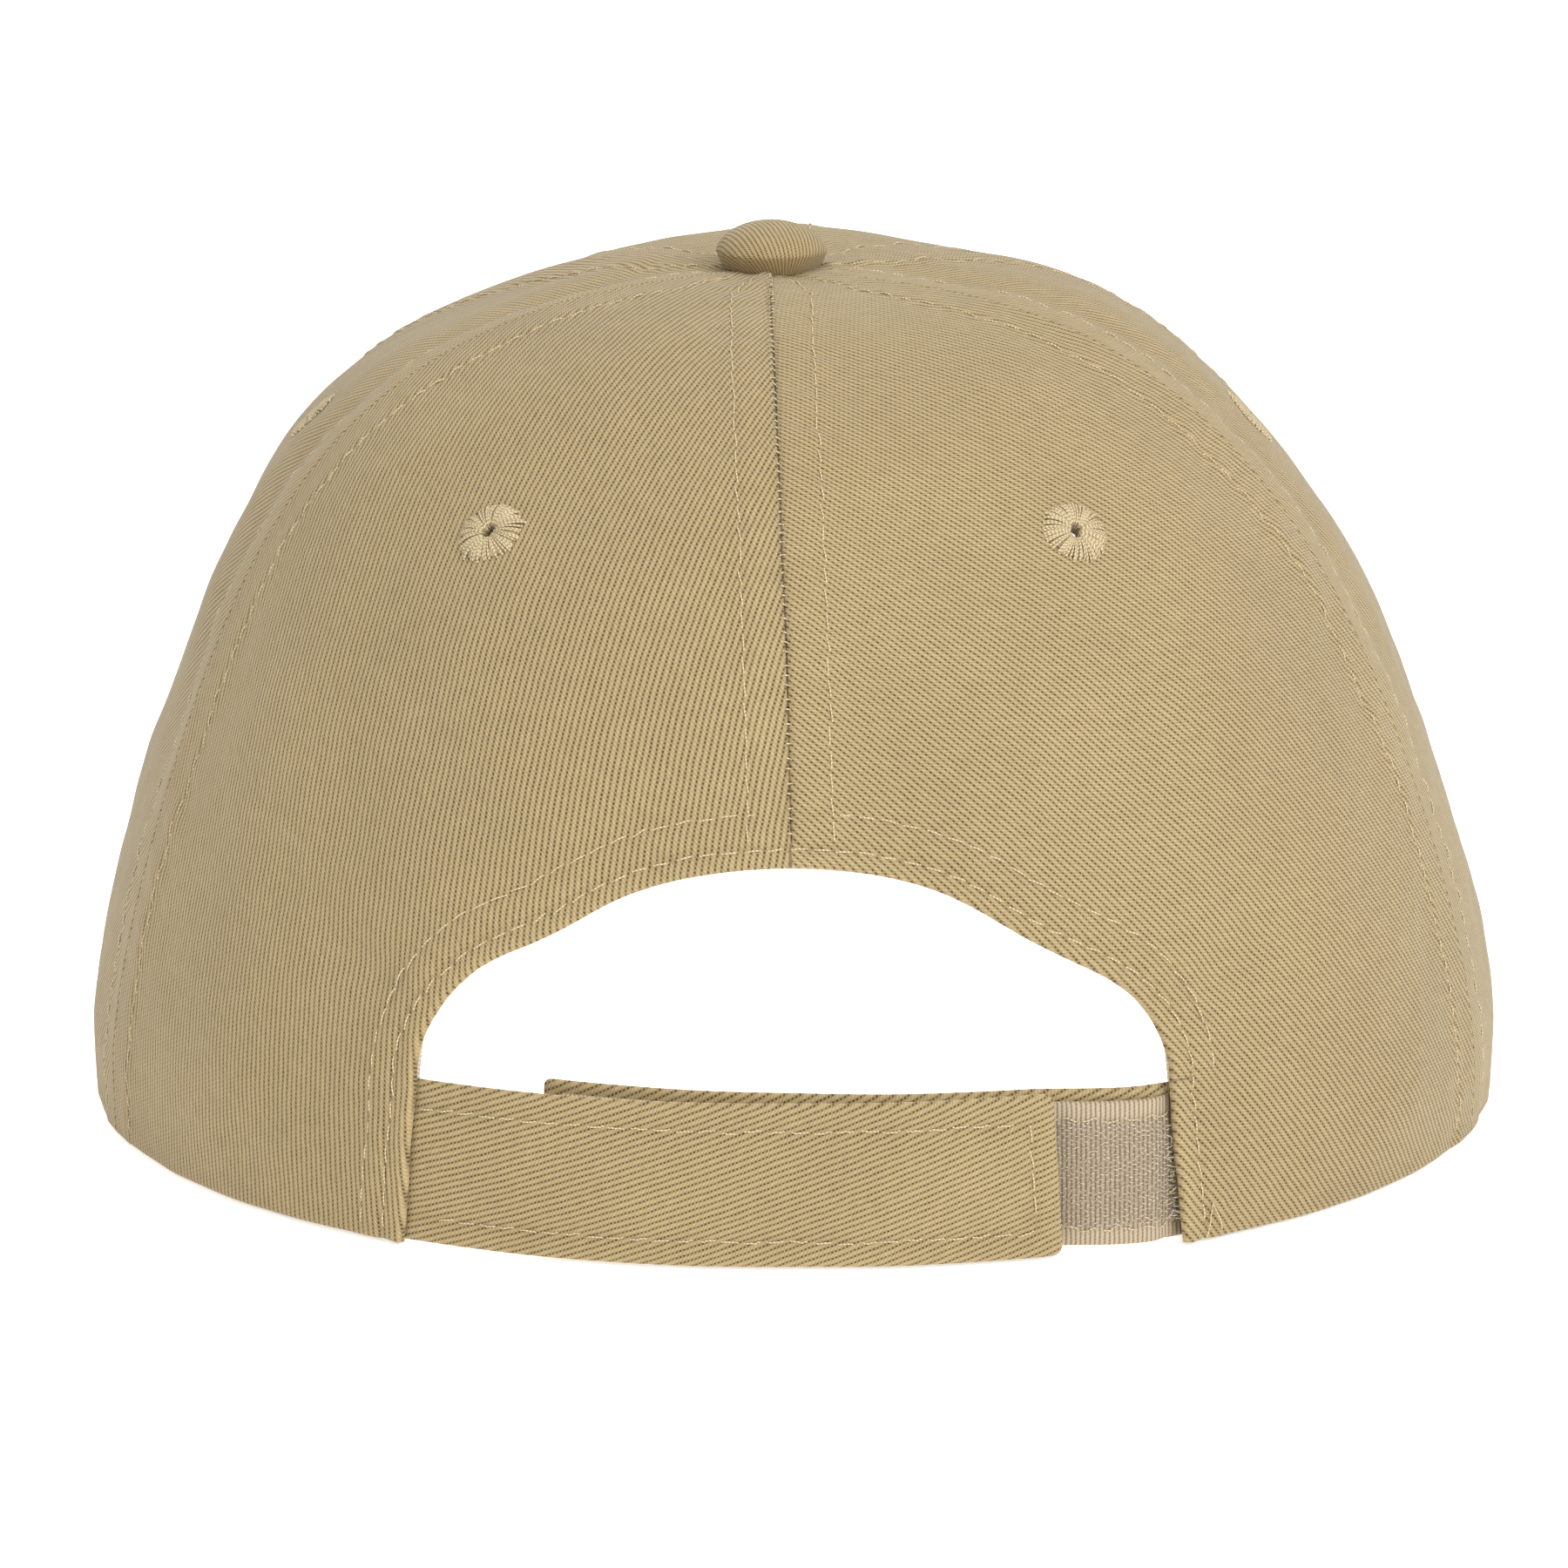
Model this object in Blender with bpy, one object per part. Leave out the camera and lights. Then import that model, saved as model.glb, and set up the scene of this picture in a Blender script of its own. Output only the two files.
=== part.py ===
"""A six-panel baseball cap with a hook-and-loop back strap.

Metres, +Z up. The visor points to -Y, the strap and its opening to +Y, and the wearer's
left is +X. The hem of the sides and back lies in the plane z = 0.

The crown is one smooth surface, point(azimuth, climb): azimuth runs from the centre back
(0) past the side (90) to the centre front (180), positive towards +X, and climb runs from
the widest line (0) to the button (90). Every layer of cloth is a slab that lies at a depth
below that surface, with a small gap to the next layer.
"""

import math

import bmesh
import bpy
import numpy as np

# Crown outline: half width, half depths behind and in front of the button, height.
HALF_WIDTH = 0.0879
HALF_BACK = 0.0938
HALF_FRONT = 0.1030
CROWN_HEIGHT = 0.1042
SQUARENESS = 2.13  # superellipse power of the hem; the button end is round
SIDE_FULLNESS = (-0.006, -0.022, 0.019, 0.002)  # cosine terms that fill out each section
BACK_FULLNESS = (0.0, -0.017, 0.012)
FRONT_FULLNESS = (0.0, -0.030, 0.0)
HEM_TUCK = 0.009  # share by which the hem draws in
HEM_TUCK_HEIGHT = 0.008
FRONT_RISE = 0.0015  # stiffened front panels stand above the button seat
BUTTON_DIP = 0.0009  # the button pulls the cloth down round its post
CROWN_Y = 0.0389  # of the button, so that the whole cap is centred on the origin
LEAN = 0.0029  # the soft crown leans to the wearer's left by this much at the button
LEAN_POWER = 2.8

# Seams, as azimuths at the hem, halfway and at the button.
BACK_SEAM = (67.5, 67.0, 54.0)
FRONT_SEAM = (118.0, 119.0, 122.0)
SEAM_GAP = 0.0003
APEX_RADIUS = 0.0027  # the panels stop here, around the button's post

# Depths of the layers below the outer surface (outer face, inner face).
PANEL = (0.0, 0.0008)
BUCKRAM = (0.0012, 0.0020)
TAPE = (0.0012, 0.0018)
FRONT_TAPE = (0.0024, 0.0030)
BINDING = (0.0012, 0.0019)
SWEATBAND = (0.0037, 0.0069)
SWEATBAND_PLY = 0.0006
PADDING = (0.0046, 0.0060)
SWEATBAND_HEIGHT = 0.033
TAPE_WIDTH = 0.013
TAPE_END_RADIUS = 0.018

# Back opening: an arch over the strap, a little flattened at each shoulder.
ARCH_HALF_WIDTH = 0.0449
ARCH_TOP = 0.0466
ARCH_SPRING = 0.0200
ARCH_POWER = 1.9
ARCH_FOOT_HALF_WIDTH = 0.0466
# The arch sags at its shoulders: middle, spread and drop, by the sign of x
SHOULDERS = {1: (0.029, 0.0080, 0.00175), -1: (0.030, 0.0105, 0.00275)}
BINDING_WIDTH = 0.009
BINDING_LIFT = 0.0012  # it starts this far over the strap

# Back strap.
HINGE_X = 0.0430
STRAP_LEVEL = 0.010  # height at which the strap's places are worked out
STRAP_HEIGHT = 0.0196
INNER_STRAP_HEIGHT = 0.0188
INNER_STRAP_LIFT = (0.0002, 0.0016)  # of its lower edge, at its root and at its free end
OUTER_TAB_END = -0.0318
INNER_TAB_END = 0.0314
ROOT_END = 0.0600
OUTER_TAB = (0.0012, 0.0026)
LOOP_TAPE = (0.0029, 0.0038)
HOOK_TAPE = (0.0041, 0.0049)
INNER_TAB = (0.0052, 0.0064)
INNER_ROOT = (0.0021, 0.0033)
INNER_TAB_RISE = 0.0031  # how much shallower the inner tab lies at its root
INNER_TAB_SETTLED = -0.0290  # it reaches its full depth here
HOOK_TAPE_MARGIN = (0.0002, 0.0012)  # inner tab left showing under and over the hook tape
LOOP_TAPE_SPAN = (0.0009, 0.0187)
LOOP_TAPE_START = 0.0260
TAPE_SETBACK = 0.0025  # of the hook and loop tapes from the ends of the tabs
HINGE_GAP = 0.0003

# Visor: an arched board in a cloth cover.
VISOR_HALF_WIDTH = 0.0870
VISOR_LENGTH = 0.1220  # from its widest line to its tip
VISOR_WIDEST_Y = -0.0500  # relative to the button
VISOR_POWER = 2.25
VISOR_TOP = 0.0156
VISOR_ARCH_RADIUS = 0.300
VISOR_SLOPE = 0.05
VISOR_SPAN = 67.0  # azimuth either side of the centre front that it is sewn along
VISOR_SWEEP = 93.0  # angle of the outline's ends, past its widest line
HEM_RISE = (93.0, 112.0)  # azimuths between which the hem climbs onto the visor
VISOR_TUCK = 0.0031
BOARD_INSET = 0.0014
COVER = 0.0008
BOARD = 0.0020
GAP = 0.0003

# Eyelets and button.
EYELETS = {"back": (32.0, 47.4), "side": (86.0, 50.5), "front": (148.0, 47.0)}
EYELET_RADIUS = 0.0040
EYELET_BORE = 0.0011
EYELET_NECK = 0.0017
PANEL_HOLE = 0.0021
BUTTON_RADIUS = 0.0070
BUTTON_HEIGHT = 0.0060
POST_RADIUS = 0.0014

BUCKRAM_TOP_RADIUS = 0.014
BUCKRAM_INSET = 1.6  # degrees
TAPE_BOW_RADIUS = 0.070
TAPE_HEM_CLEARANCE = 0.6  # degrees of climb
TAPE_HOLE_CLEARANCE = 0.0006

ROWS = 16
HOLE_SIDES = 16
TURN_SIDES = 20


# ---------------------------------------------------------------- the crown surface


def fullness(terms, climb):
    total = np.ones_like(climb)
    for k, size in enumerate(terms, start=1):
        total = total + size * (np.cos(2 * k * climb) - (-1) ** k)
    return total


def smooth(value, start, end):
    t = np.clip((value - start) / (end - start), 0, 1)
    return t * t * (3 - 2 * t)


def point(azimuth, climb):
    """Points of the outer surface, for angles in degrees."""
    azimuth, climb = np.broadcast_arrays(np.radians(azimuth), np.radians(climb))
    azimuth, climb = azimuth.astype(float), climb.astype(float)
    out, up = np.cos(climb), np.sin(climb)
    side = fullness(SIDE_FULLNESS, climb)
    back = np.cos(azimuth) > 0
    end = np.where(back, fullness(BACK_FULLNESS, climb), fullness(FRONT_FULLNESS, climb))
    half_end = np.where(back, HALF_BACK, HALF_FRONT)
    sideways = np.sin(azimuth) ** 2
    z = CROWN_HEIGHT * up * (side * sideways + end * (1 - sideways))
    power = 2 + (SQUARENESS - 2) * out**2
    across = (np.abs(np.sin(azimuth)) / np.maximum(HALF_WIDTH * side * out, 1e-7)) ** power
    along = (np.abs(np.cos(azimuth)) / np.maximum(half_end * end * out, 1e-7)) ** power
    radius = (across + along) ** (-1 / power)
    radius = radius * (1 - HEM_TUCK * np.exp(-((z / HEM_TUCK_HEIGHT) ** 2)))
    forward = np.clip(-np.cos(azimuth), 0, 1) ** 1.5
    z = z + FRONT_RISE * forward * smooth(radius, 0.008, 0.030) * (1 - smooth(radius, 0.035, 0.080))
    z = z - BUTTON_DIP * (1 - smooth(radius, 0.004, 0.035))
    return np.stack([radius * np.sin(azimuth), radius * np.cos(azimuth), z], axis=-1)


def unit(vectors):
    return vectors / np.linalg.norm(vectors, axis=-1, keepdims=True)


def normal(azimuth, climb):
    """Outward unit normals."""
    step = 0.05
    around = point(azimuth + step, climb) - point(azimuth - step, climb)
    upward = point(azimuth, climb + step) - point(azimuth, climb - step)
    return unit(np.cross(upward, around))


def layer(azimuth, climb, depth):
    return point(azimuth, climb) - normal(azimuth, climb) * np.asarray(depth)[..., None]


def climb_where(azimuth, measure, target, low=-8.0, high=89.9):
    """The climb at which measure(point) first passes target, by bisection."""
    azimuth, target = np.broadcast_arrays(np.asarray(azimuth, float), np.asarray(target, float))
    low, high = np.full(azimuth.shape, low), np.full(azimuth.shape, high)
    for _ in range(40):
        middle = (low + high) / 2
        past = measure(point(azimuth, middle)) >= target
        low, high = np.where(past, low, middle), np.where(past, middle, high)
    return (low + high) / 2


def height(points):
    return points[..., 2]


def closeness(points):
    """Grows towards the button, so that a radius can be searched for."""
    return -np.hypot(points[..., 0], points[..., 1])


def visor_top(x, y):
    """Height of the visor's top face over a place in plan."""
    return VISOR_TOP - x**2 / (2 * VISOR_ARCH_RADIUS) + VISOR_SLOPE * (y + HALF_FRONT)


def hem_height(azimuth):
    """The hem is flat at the back and sides and lifts over the visor."""
    azimuth = np.abs(np.asarray(azimuth, float))
    rim = point(azimuth, 0.0)
    return smooth(azimuth, *HEM_RISE) * (visor_top(rim[..., 0], rim[..., 1]) + GAP)


def hem_climb(azimuth):
    return climb_where(azimuth, height, hem_height(azimuth))


def wall(azimuth, z, depth):
    """A point at height z, depth inside the outer surface, measured level."""
    found = climb_where(azimuth, height, z, high=60.0)
    outer = point(azimuth, found)
    facing = normal(azimuth, found)
    facing[..., 2] = 0
    return outer - unit(facing) * np.asarray(depth)[..., None]


def seam(angles, climb):
    """Azimuth of a seam at a climb, through its hem, halfway and button angles."""
    hem, middle, top = angles
    t = np.sin(np.radians(np.clip(climb, 0, 90))) ** 2
    return hem + (top - hem) * t + (middle - (hem + top) / 2) * 4 * t * (1 - t)


def azimuth_at_x(x, z):
    """Azimuth on the back wall whose point has this x at height z."""
    x = np.asarray(x, float)
    low, high = np.full(x.shape, -60.0), np.full(x.shape, 60.0)
    for _ in range(40):
        middle = (low + high) / 2
        past = wall(middle, z, np.zeros(x.shape))[..., 0] >= x
        low, high = np.where(past, low, middle), np.where(past, middle, high)
    return (low + high) / 2


# ---------------------------------------------------------------- making objects


def material(name, colour, roughness, metallic=0.0):
    made = bpy.data.materials.new(name)
    made.use_nodes = True
    shader = made.node_tree.nodes["Principled BSDF"]
    shader.inputs["Base Color"].default_value = (*colour, 1)
    shader.inputs["Roughness"].default_value = roughness
    shader.inputs["Metallic"].default_value = metallic
    return made


def finished(name, bm, look):
    """Closes off a bmesh as an object with its faces out."""
    bmesh.ops.recalc_face_normals(bm, faces=bm.faces)
    mesh = bpy.data.meshes.new(name)
    bm.to_mesh(mesh)
    bm.free()
    mesh.shade_smooth()
    mesh.set_sharp_from_angle(angle=math.radians(40))
    made = bpy.data.objects.new(name, mesh)
    bpy.context.scene.collection.objects.link(made)
    made.data.materials.append(material(name + "_finish", *look))
    return made


def moved(points):
    """From the button's frame to the cap's frame, with the crown's lean."""
    points = np.array(points, float)
    points[..., 0] += LEAN * np.clip(points[..., 2] / CROWN_HEIGHT, 0, 1) ** LEAN_POWER
    points[..., 1] += CROWN_Y
    return points


def slab(name, outer, inner, look):
    """A closed sheet between two grids of points of the same shape."""
    bm = bmesh.new()
    rows, columns = outer.shape[:2]
    faces = [[[bm.verts.new(p) for p in row] for row in moved(side)] for side in (outer, inner)]
    for side in faces:
        for i in range(rows - 1):
            for j in range(columns - 1):
                bm.faces.new((side[i][j], side[i + 1][j], side[i + 1][j + 1], side[i][j + 1]))
    rim = [(i, 0) for i in range(rows)] + [(rows - 1, j) for j in range(1, columns)]
    rim += [(i, columns - 1) for i in range(rows - 2, -1, -1)]
    rim += [(0, j) for j in range(columns - 2, 0, -1)]
    for (a, b), (c, d) in zip(rim, rim[1:] + rim[:1], strict=True):
        bm.faces.new((faces[0][a][b], faces[0][c][d], faces[1][c][d], faces[1][a][b]))
    return finished(name, bm, look)


def swept(name, sections, look):
    """A closed bar through a list of sections with the same number of corners."""
    bm = bmesh.new()
    loops = [[bm.verts.new(p) for p in section] for section in moved(sections)]
    count = len(loops[0])
    for one, two in zip(loops, loops[1:], strict=False):
        for k in range(count):
            after = (k + 1) % count
            bm.faces.new((one[k], one[after], two[after], two[k]))
    caps = [bm.faces.new(loops[0]), bm.faces.new(loops[-1])]
    bmesh.ops.triangulate(bm, faces=caps)
    return finished(name, bm, look)


def turned(name, profile, place, axis, look, sides=TURN_SIDES):
    """A profile of (radius, height) turned about an axis; a radius of 0 closes on the axis."""
    axis = unit(np.asarray(axis, float))
    reference = np.array([1.0, 0, 0]) if abs(axis[0]) < 0.9 else np.array([0, 1.0, 0])
    side = unit(np.cross(axis, reference))
    other = np.cross(axis, side)
    place = moved(place)
    bm = bmesh.new()
    rings = []
    for radius, level in profile:
        centre = place + axis * level
        if radius == 0:
            rings.append([bm.verts.new(centre)])
            continue
        angles = [2 * math.pi * k / sides for k in range(sides)]
        rings.append([
            bm.verts.new(centre + radius * (math.cos(a) * side + math.sin(a) * other))
            for a in angles
        ])
    closed = profile[0][0] != 0
    pairs = zip(rings, rings[1:] + rings[:1], strict=True) if closed else zip(rings, rings[1:])
    for one, two in pairs:
        for k in range(sides):
            after = (k + 1) % sides
            corners = [one[k % len(one)], one[after % len(one)]]
            corners += [two[after % len(two)], two[k % len(two)]]
            bm.faces.new(list(dict.fromkeys(corners)))
    return finished(name, bm, look)


def cut(target, cutter):
    cutter.hide_render = True
    cutter.display_type = "WIRE"
    boolean = target.modifiers.new("cut_" + cutter.name, "BOOLEAN")
    boolean.operation = "DIFFERENCE"
    boolean.object = cutter


def cylinder(name, place, axis, radius, half_length):
    profile = [(0, -half_length), (radius, -half_length), (radius, half_length), (0, half_length)]
    return turned(name, profile, place, axis, PLAIN, sides=HOLE_SIDES)


PLAIN = ((0.5, 0.5, 0.5), 0.8)
TWILL = ((0.50, 0.40, 0.25), 0.85)
WHITE_CLOTH = ((0.75, 0.73, 0.68), 0.85)
THREAD = ((0.60, 0.50, 0.33), 0.6)
TAPE_CLOTH = ((0.48, 0.40, 0.30), 0.6)
FOAM = ((0.80, 0.78, 0.70), 0.9)
BOARD_PLASTIC = ((0.80, 0.80, 0.78), 0.5)
ALUMINIUM = ((0.78, 0.78, 0.78), 0.35, 1.0)


# ---------------------------------------------------------------- crown


def edge_azimuth(angles, climb, direction):
    """A seam's azimuth moved by half the seam gap, to one side."""
    azimuth = seam(angles, climb)
    reach = -closeness(point(azimuth, climb))
    return azimuth + direction * np.degrees(SEAM_GAP / 2 / reach)


def gore(first, last, depths, side, top_radius, inset=0.0, columns=9):
    """Grids of a panel between two seams; side is 1 for +X and -1 for -X."""
    share = np.linspace(0, 1, ROWS + 1)
    across = np.linspace(0, 1, columns + 1)
    grids = []
    for depth in depths:
        grid = np.zeros((ROWS + 1, columns + 1, 3))
        for j, s in enumerate(across):
            between = seam(first, 0) + s * (seam(last, 0) - seam(first, 0))
            start = hem_climb(between)
            stop = climb_where(between, closeness, -top_radius)
            climbs = start + (stop - start) * share
            low = edge_azimuth(first, climbs, 1) + inset
            high = edge_azimuth(last, climbs, -1) - inset
            azimuths = low + s * (high - low)
            grid[:, j] = layer(azimuths * side, climbs, np.full(climbs.shape, depth))
            grid[0, j] = wall(azimuths[0] * side, hem_height(between), depth)
            grid[0, j, 2] = hem_height(between)
        grids.append(grid)
    return grids


CENTRE_BACK = (0.0, 0.0, 0.0)
CENTRE_FRONT = (180.0, 180.0, 180.0)


def eyelet_place(which, side):
    azimuth, climb = EYELETS[which]
    azimuth *= side
    return point(azimuth, climb), normal(azimuth, climb)


def arch_outline():
    """The opening's (x, z) outline from foot to foot, anticlockwise from +X."""
    angles = np.linspace(0, math.pi, 25)
    xs = ARCH_HALF_WIDTH * np.sign(np.cos(angles)) * np.abs(np.cos(angles)) ** (2 / ARCH_POWER)
    zs = ARCH_SPRING + (ARCH_TOP - ARCH_SPRING) * np.sin(angles) ** (2 / ARCH_POWER)
    for sign, (middle, spread, drop) in SHOULDERS.items():
        zs = zs - drop * np.exp(-(((xs * sign - middle) / spread) ** 2))
    zs[[0, -1]] = ARCH_SPRING
    feet = [(ARCH_FOOT_HALF_WIDTH, 0.0)]
    return feet + list(zip(xs, zs, strict=True)) + [(-ARCH_FOOT_HALF_WIDTH, 0.0)]


def arch_cutter():
    """The opening's outline, run through the back wall along Y."""
    outline = arch_outline()
    below = 0.01
    outline = [(outline[0][0], -below)] + outline + [(outline[-1][0], -below)]
    near = [(x, 0.05, z) for x, z in outline]
    far = [(x, 0.13, z) for x, z in outline]
    return swept("arch_cutter", np.array([near, far]), PLAIN)


def make_panels():
    arch = arch_cutter()
    gores = {
        "back": (CENTRE_BACK, BACK_SEAM),
        "side": (BACK_SEAM, FRONT_SEAM),
        "front": (FRONT_SEAM, CENTRE_FRONT),
    }
    for side, word in ((1, "left"), (-1, "right")):
        for which, (first, last) in gores.items():
            outer, inner = gore(first, last, PANEL, side, APEX_RADIUS)
            panel = slab(f"{which}_panel_{word}", outer, inner, TWILL)
            place, facing = eyelet_place(which, side)
            hole = cylinder(f"{which}_hole_{word}", place, facing, PANEL_HOLE, 0.006)
            cut(panel, hole)
            if which == "back":
                cut(panel, arch)
            if which == "front":
                outer, inner = gore(first, last, BUCKRAM, side, BUCKRAM_TOP_RADIUS, BUCKRAM_INSET)
                outer[0, :, 2] += GAP
                inner[0, :, 2] += GAP
                backing = slab(f"front_buckram_{word}", outer, inner, WHITE_CLOTH)
                cut(backing, hole)


def ribbon(name, azimuths, climbs, depths, look):
    """A strip of tape along a line on the crown, a little bowed across."""
    half = TAPE_WIDTH / 2
    bow = half**2 / (2 * TAPE_BOW_RADIUS)
    grids = []
    for depth in (0, 1):
        centre = layer(azimuths, climbs, depths[:, depth])
        facing = normal(azimuths, climbs)
        along = unit(np.gradient(centre, axis=0))
        across = unit(np.cross(along, facing))
        edges = [centre + across * half * s - facing * bow * abs(s) for s in (-1, 0, 1)]
        grids.append(np.stack(edges, axis=1))
    return slab(name, *grids, look)


def make_tapes():
    """The long centre tape, and the four that end short of the button."""
    front_start = hem_climb(180.0) + TAPE_HEM_CLEARANCE
    front = np.linspace(front_start, 89.0, ROWS + 1)
    arch_climb = climb_where(0.0, height, ARCH_TOP + BINDING_WIDTH + 2 * TAPE[0])
    back = np.linspace(88.0, arch_climb, 11)
    azimuths = np.concatenate([np.full(front.shape, 180.0), np.zeros(back.shape)])
    climbs = np.concatenate([front, back])
    turn = smooth(np.arange(len(climbs)), len(front) - 4, len(front) + 3)[:, None]
    depths = np.array(FRONT_TAPE) * (1 - turn) + np.array(TAPE) * turn
    centre = ribbon("centre_seam_tape", azimuths, climbs, depths, WHITE_CLOTH)
    hole_radius = POST_RADIUS + TAPE_HOLE_CLEARANCE
    cut(centre, cylinder("tape_hole", (0, 0, CROWN_HEIGHT), (0, 0, 1), hole_radius, 0.006))
    for side, word in ((1, "left"), (-1, "right")):
        for which, angles, pair in (("back", BACK_SEAM, TAPE), ("front", FRONT_SEAM, FRONT_TAPE)):
            start = hem_climb(angles[0]) + TAPE_HEM_CLEARANCE
            stop = climb_where(angles[2], closeness, -TAPE_END_RADIUS)
            climbs = np.linspace(start, stop, ROWS)
            depths = np.tile(pair, (len(climbs), 1))
            name = f"{which}_seam_tape_{word}"
            ribbon(name, seam(angles, climbs) * side, climbs, depths, WHITE_CLOTH)


def make_binding():
    """Cloth strip inside the arch's edge, from just above one strap root to the other."""
    outline = np.array(arch_outline()[1:-1])
    outline = outline[outline[:, 1] > ARCH_SPRING + BINDING_LIFT]
    along = np.gradient(outline, axis=0)
    outward = np.stack([along[:, 1], -along[:, 0]], axis=1)
    outward /= np.linalg.norm(outward, axis=1, keepdims=True)
    grids = []
    for depth in BINDING:
        columns = []
        for reach in (0.0004, BINDING_WIDTH / 2, BINDING_WIDTH):
            places = outline + outward * reach
            places[:, 1] = np.maximum(places[:, 1], ARCH_SPRING + BINDING_LIFT)
            azimuths = azimuth_at_x(places[:, 0], places[:, 1])
            columns.append(wall(azimuths, places[:, 1], np.full(azimuths.shape, depth)))
        grids.append(np.stack(columns, axis=1))
    slab("opening_binding", *grids, TWILL)


def make_sweatband():
    """A folded band, open at the bottom, round its strip of foam."""
    corner = float(azimuth_at_x(np.array(ARCH_FOOT_HALF_WIDTH + 0.0012), STRAP_LEVEL))
    stations = np.linspace(corner, 360 - corner, 45)
    wrapped = np.where(stations > 180, stations - 360, stations)
    base = hem_height(wrapped)
    outer, inner = SWEATBAND
    steps = np.linspace(0, 1, 4)

    def ply(depth, low, high):
        return [(depth, low + (high - low) * t) for t in steps]

    top, ply_top = SWEATBAND_HEIGHT, SWEATBAND_HEIGHT - SWEATBAND_PLY
    corners = ply(outer, 0, top) + ply(inner, top, 0)
    corners += ply(inner - SWEATBAND_PLY, 0, ply_top) + ply(outer + SWEATBAND_PLY, ply_top, 0)
    section = [wall(wrapped, base + z, np.full(base.shape, d)) for d, z in corners]
    swept("sweatband", np.stack(section, axis=1), WHITE_CLOTH)
    inside = slice(1, -1)
    corners = ply(PADDING[0], 0.001, ply_top - 0.001) + ply(PADDING[1], ply_top - 0.001, 0.001)
    section = [
        wall(wrapped[inside], base[inside] + z, np.full(base[inside].shape, d)) for d, z in corners
    ]
    swept("sweatband_padding", np.stack(section, axis=1), FOAM)


def make_eyelets():
    """Stitched rings with a flange on each face, one in each panel."""
    for side, word in ((1, "left"), (-1, "right")):
        for which in EYELETS:
            place, facing = eyelet_place(which, side)
            back = BUCKRAM[1] if which == "front" else PANEL[1]
            out, under = 0.0003, back + 0.0004
            profile = [
                (EYELET_BORE, out + 0.0004),
                (EYELET_RADIUS - 0.0006, out + 0.0006),
                (EYELET_RADIUS, out),
                (EYELET_NECK, out),
                (EYELET_NECK, -under),
                (EYELET_RADIUS - 0.0008, -under),
                (EYELET_RADIUS - 0.0008, -under - 0.0004),
                (EYELET_BORE, -under - 0.0004),
            ]
            turned(f"{which}_eyelet_{word}", profile, place, facing, THREAD, sides=HOLE_SIDES)


def dome(radius, top, foot, steps=6):
    """(radius, height) points from the crest of a dome down to its rim."""
    angles = [math.pi / 2 * k / steps for k in range(steps + 1)]
    return [(radius * math.sin(a), foot + (top - foot) * math.cos(a) ** 0.9) for a in angles[:-1]] + [
        (radius, foot)
    ]


def make_button():
    """Covered dome on a post through the crown, held by a plate inside."""
    base = CROWN_HEIGHT - BUTTON_DIP + GAP
    up = (0, 0, 1)
    seat = (0, 0, base)
    rim = 0.0010
    cover = dome(BUTTON_RADIUS, BUTTON_HEIGHT, rim)
    lining = dome(BUTTON_RADIUS - 0.0007, BUTTON_HEIGHT - 0.0007, rim)
    profile = cover + [(BUTTON_RADIUS, 0.0), (BUTTON_RADIUS - 0.0007, 0.0)] + lining[::-1]
    turned("button_cover", profile, seat, up, TWILL)
    outside = dome(BUTTON_RADIUS - 0.0010, BUTTON_HEIGHT - 0.0010, rim)
    hollow = dome(BUTTON_RADIUS - 0.0016, BUTTON_HEIGHT - 0.0016, rim)[1:]
    post_end = -0.0048
    profile = outside + [(BUTTON_RADIUS - 0.0010, 0.0002), (BUTTON_RADIUS - 0.0016, 0.0002)]
    profile += hollow[::-1] + [(POST_RADIUS, hollow[0][1]), (POST_RADIUS, post_end), (0, post_end)]
    turned("button_shell", profile, seat, up, ALUMINIUM)
    plate = [(POST_RADIUS + 0.0003, -0.0034), (0.0062, -0.0034), (0.0062, -0.0038)]
    plate += [(0.0045, -0.0046), (POST_RADIUS + 0.0003, -0.0046)]
    turned("button_back", plate, seat, up, ALUMINIUM)


# ---------------------------------------------------------------- visor


def visor_grid(level, inset, tuck, rows=5, columns=20):
    """Points of a visor face, level below its top face, from the crown to the rim."""
    across = np.linspace(-1, 1, columns + 1)
    azimuths = 180 - across * VISOR_SPAN
    rim = wall(azimuths, hem_height(azimuths), np.full(azimuths.shape, tuck))[:, :2]
    angles = np.radians(across * VISOR_SWEEP)
    swing = np.abs(np.sin(angles)) ** (2 / VISOR_POWER) * np.sign(np.sin(angles))
    reach = np.abs(np.cos(angles)) ** (2 / VISOR_POWER) * np.sign(np.cos(angles))
    outline = np.stack([
        (VISOR_HALF_WIDTH - inset) * swing,
        VISOR_WIDEST_Y - (VISOR_LENGTH - inset) * reach,
    ], axis=1)
    share = np.linspace(0, 1, rows + 1)[:, None, None]
    plan = rim * (1 - share) + outline * share
    z = visor_top(plan[..., 0], plan[..., 1]) - level
    return np.concatenate([plan, z[..., None]], axis=-1)


def make_visor():
    under_board = COVER + GAP + BOARD
    under = under_board + GAP
    slab("visor_top_cover", visor_grid(0, 0, VISOR_TUCK), visor_grid(COVER, 0, VISOR_TUCK), TWILL)
    board = [visor_grid(z, BOARD_INSET, 0.0) for z in (COVER + GAP, under_board)]
    slab("visor_board", *board, BOARD_PLASTIC)
    cover = [visor_grid(z, 0, VISOR_TUCK) for z in (under, under + COVER)]
    slab("visor_bottom_cover", *cover, TWILL)


# ---------------------------------------------------------------- back strap


def settle(x):
    """0 at the inner tab's root, 1 where it lies flat under the outer tab."""
    return smooth(x, -HINGE_X, INNER_TAB_SETTLED)


def inner_lift(x):
    """Height of the inner strap's lower edge; it slopes up to its free end."""
    root, end = INNER_STRAP_LIFT
    share = np.clip((x + HINGE_X) / (INNER_TAB_END + HINGE_X), 0, 1)
    return root + (end - root) * share


def no_lift(x):
    return np.zeros_like(x)


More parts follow.
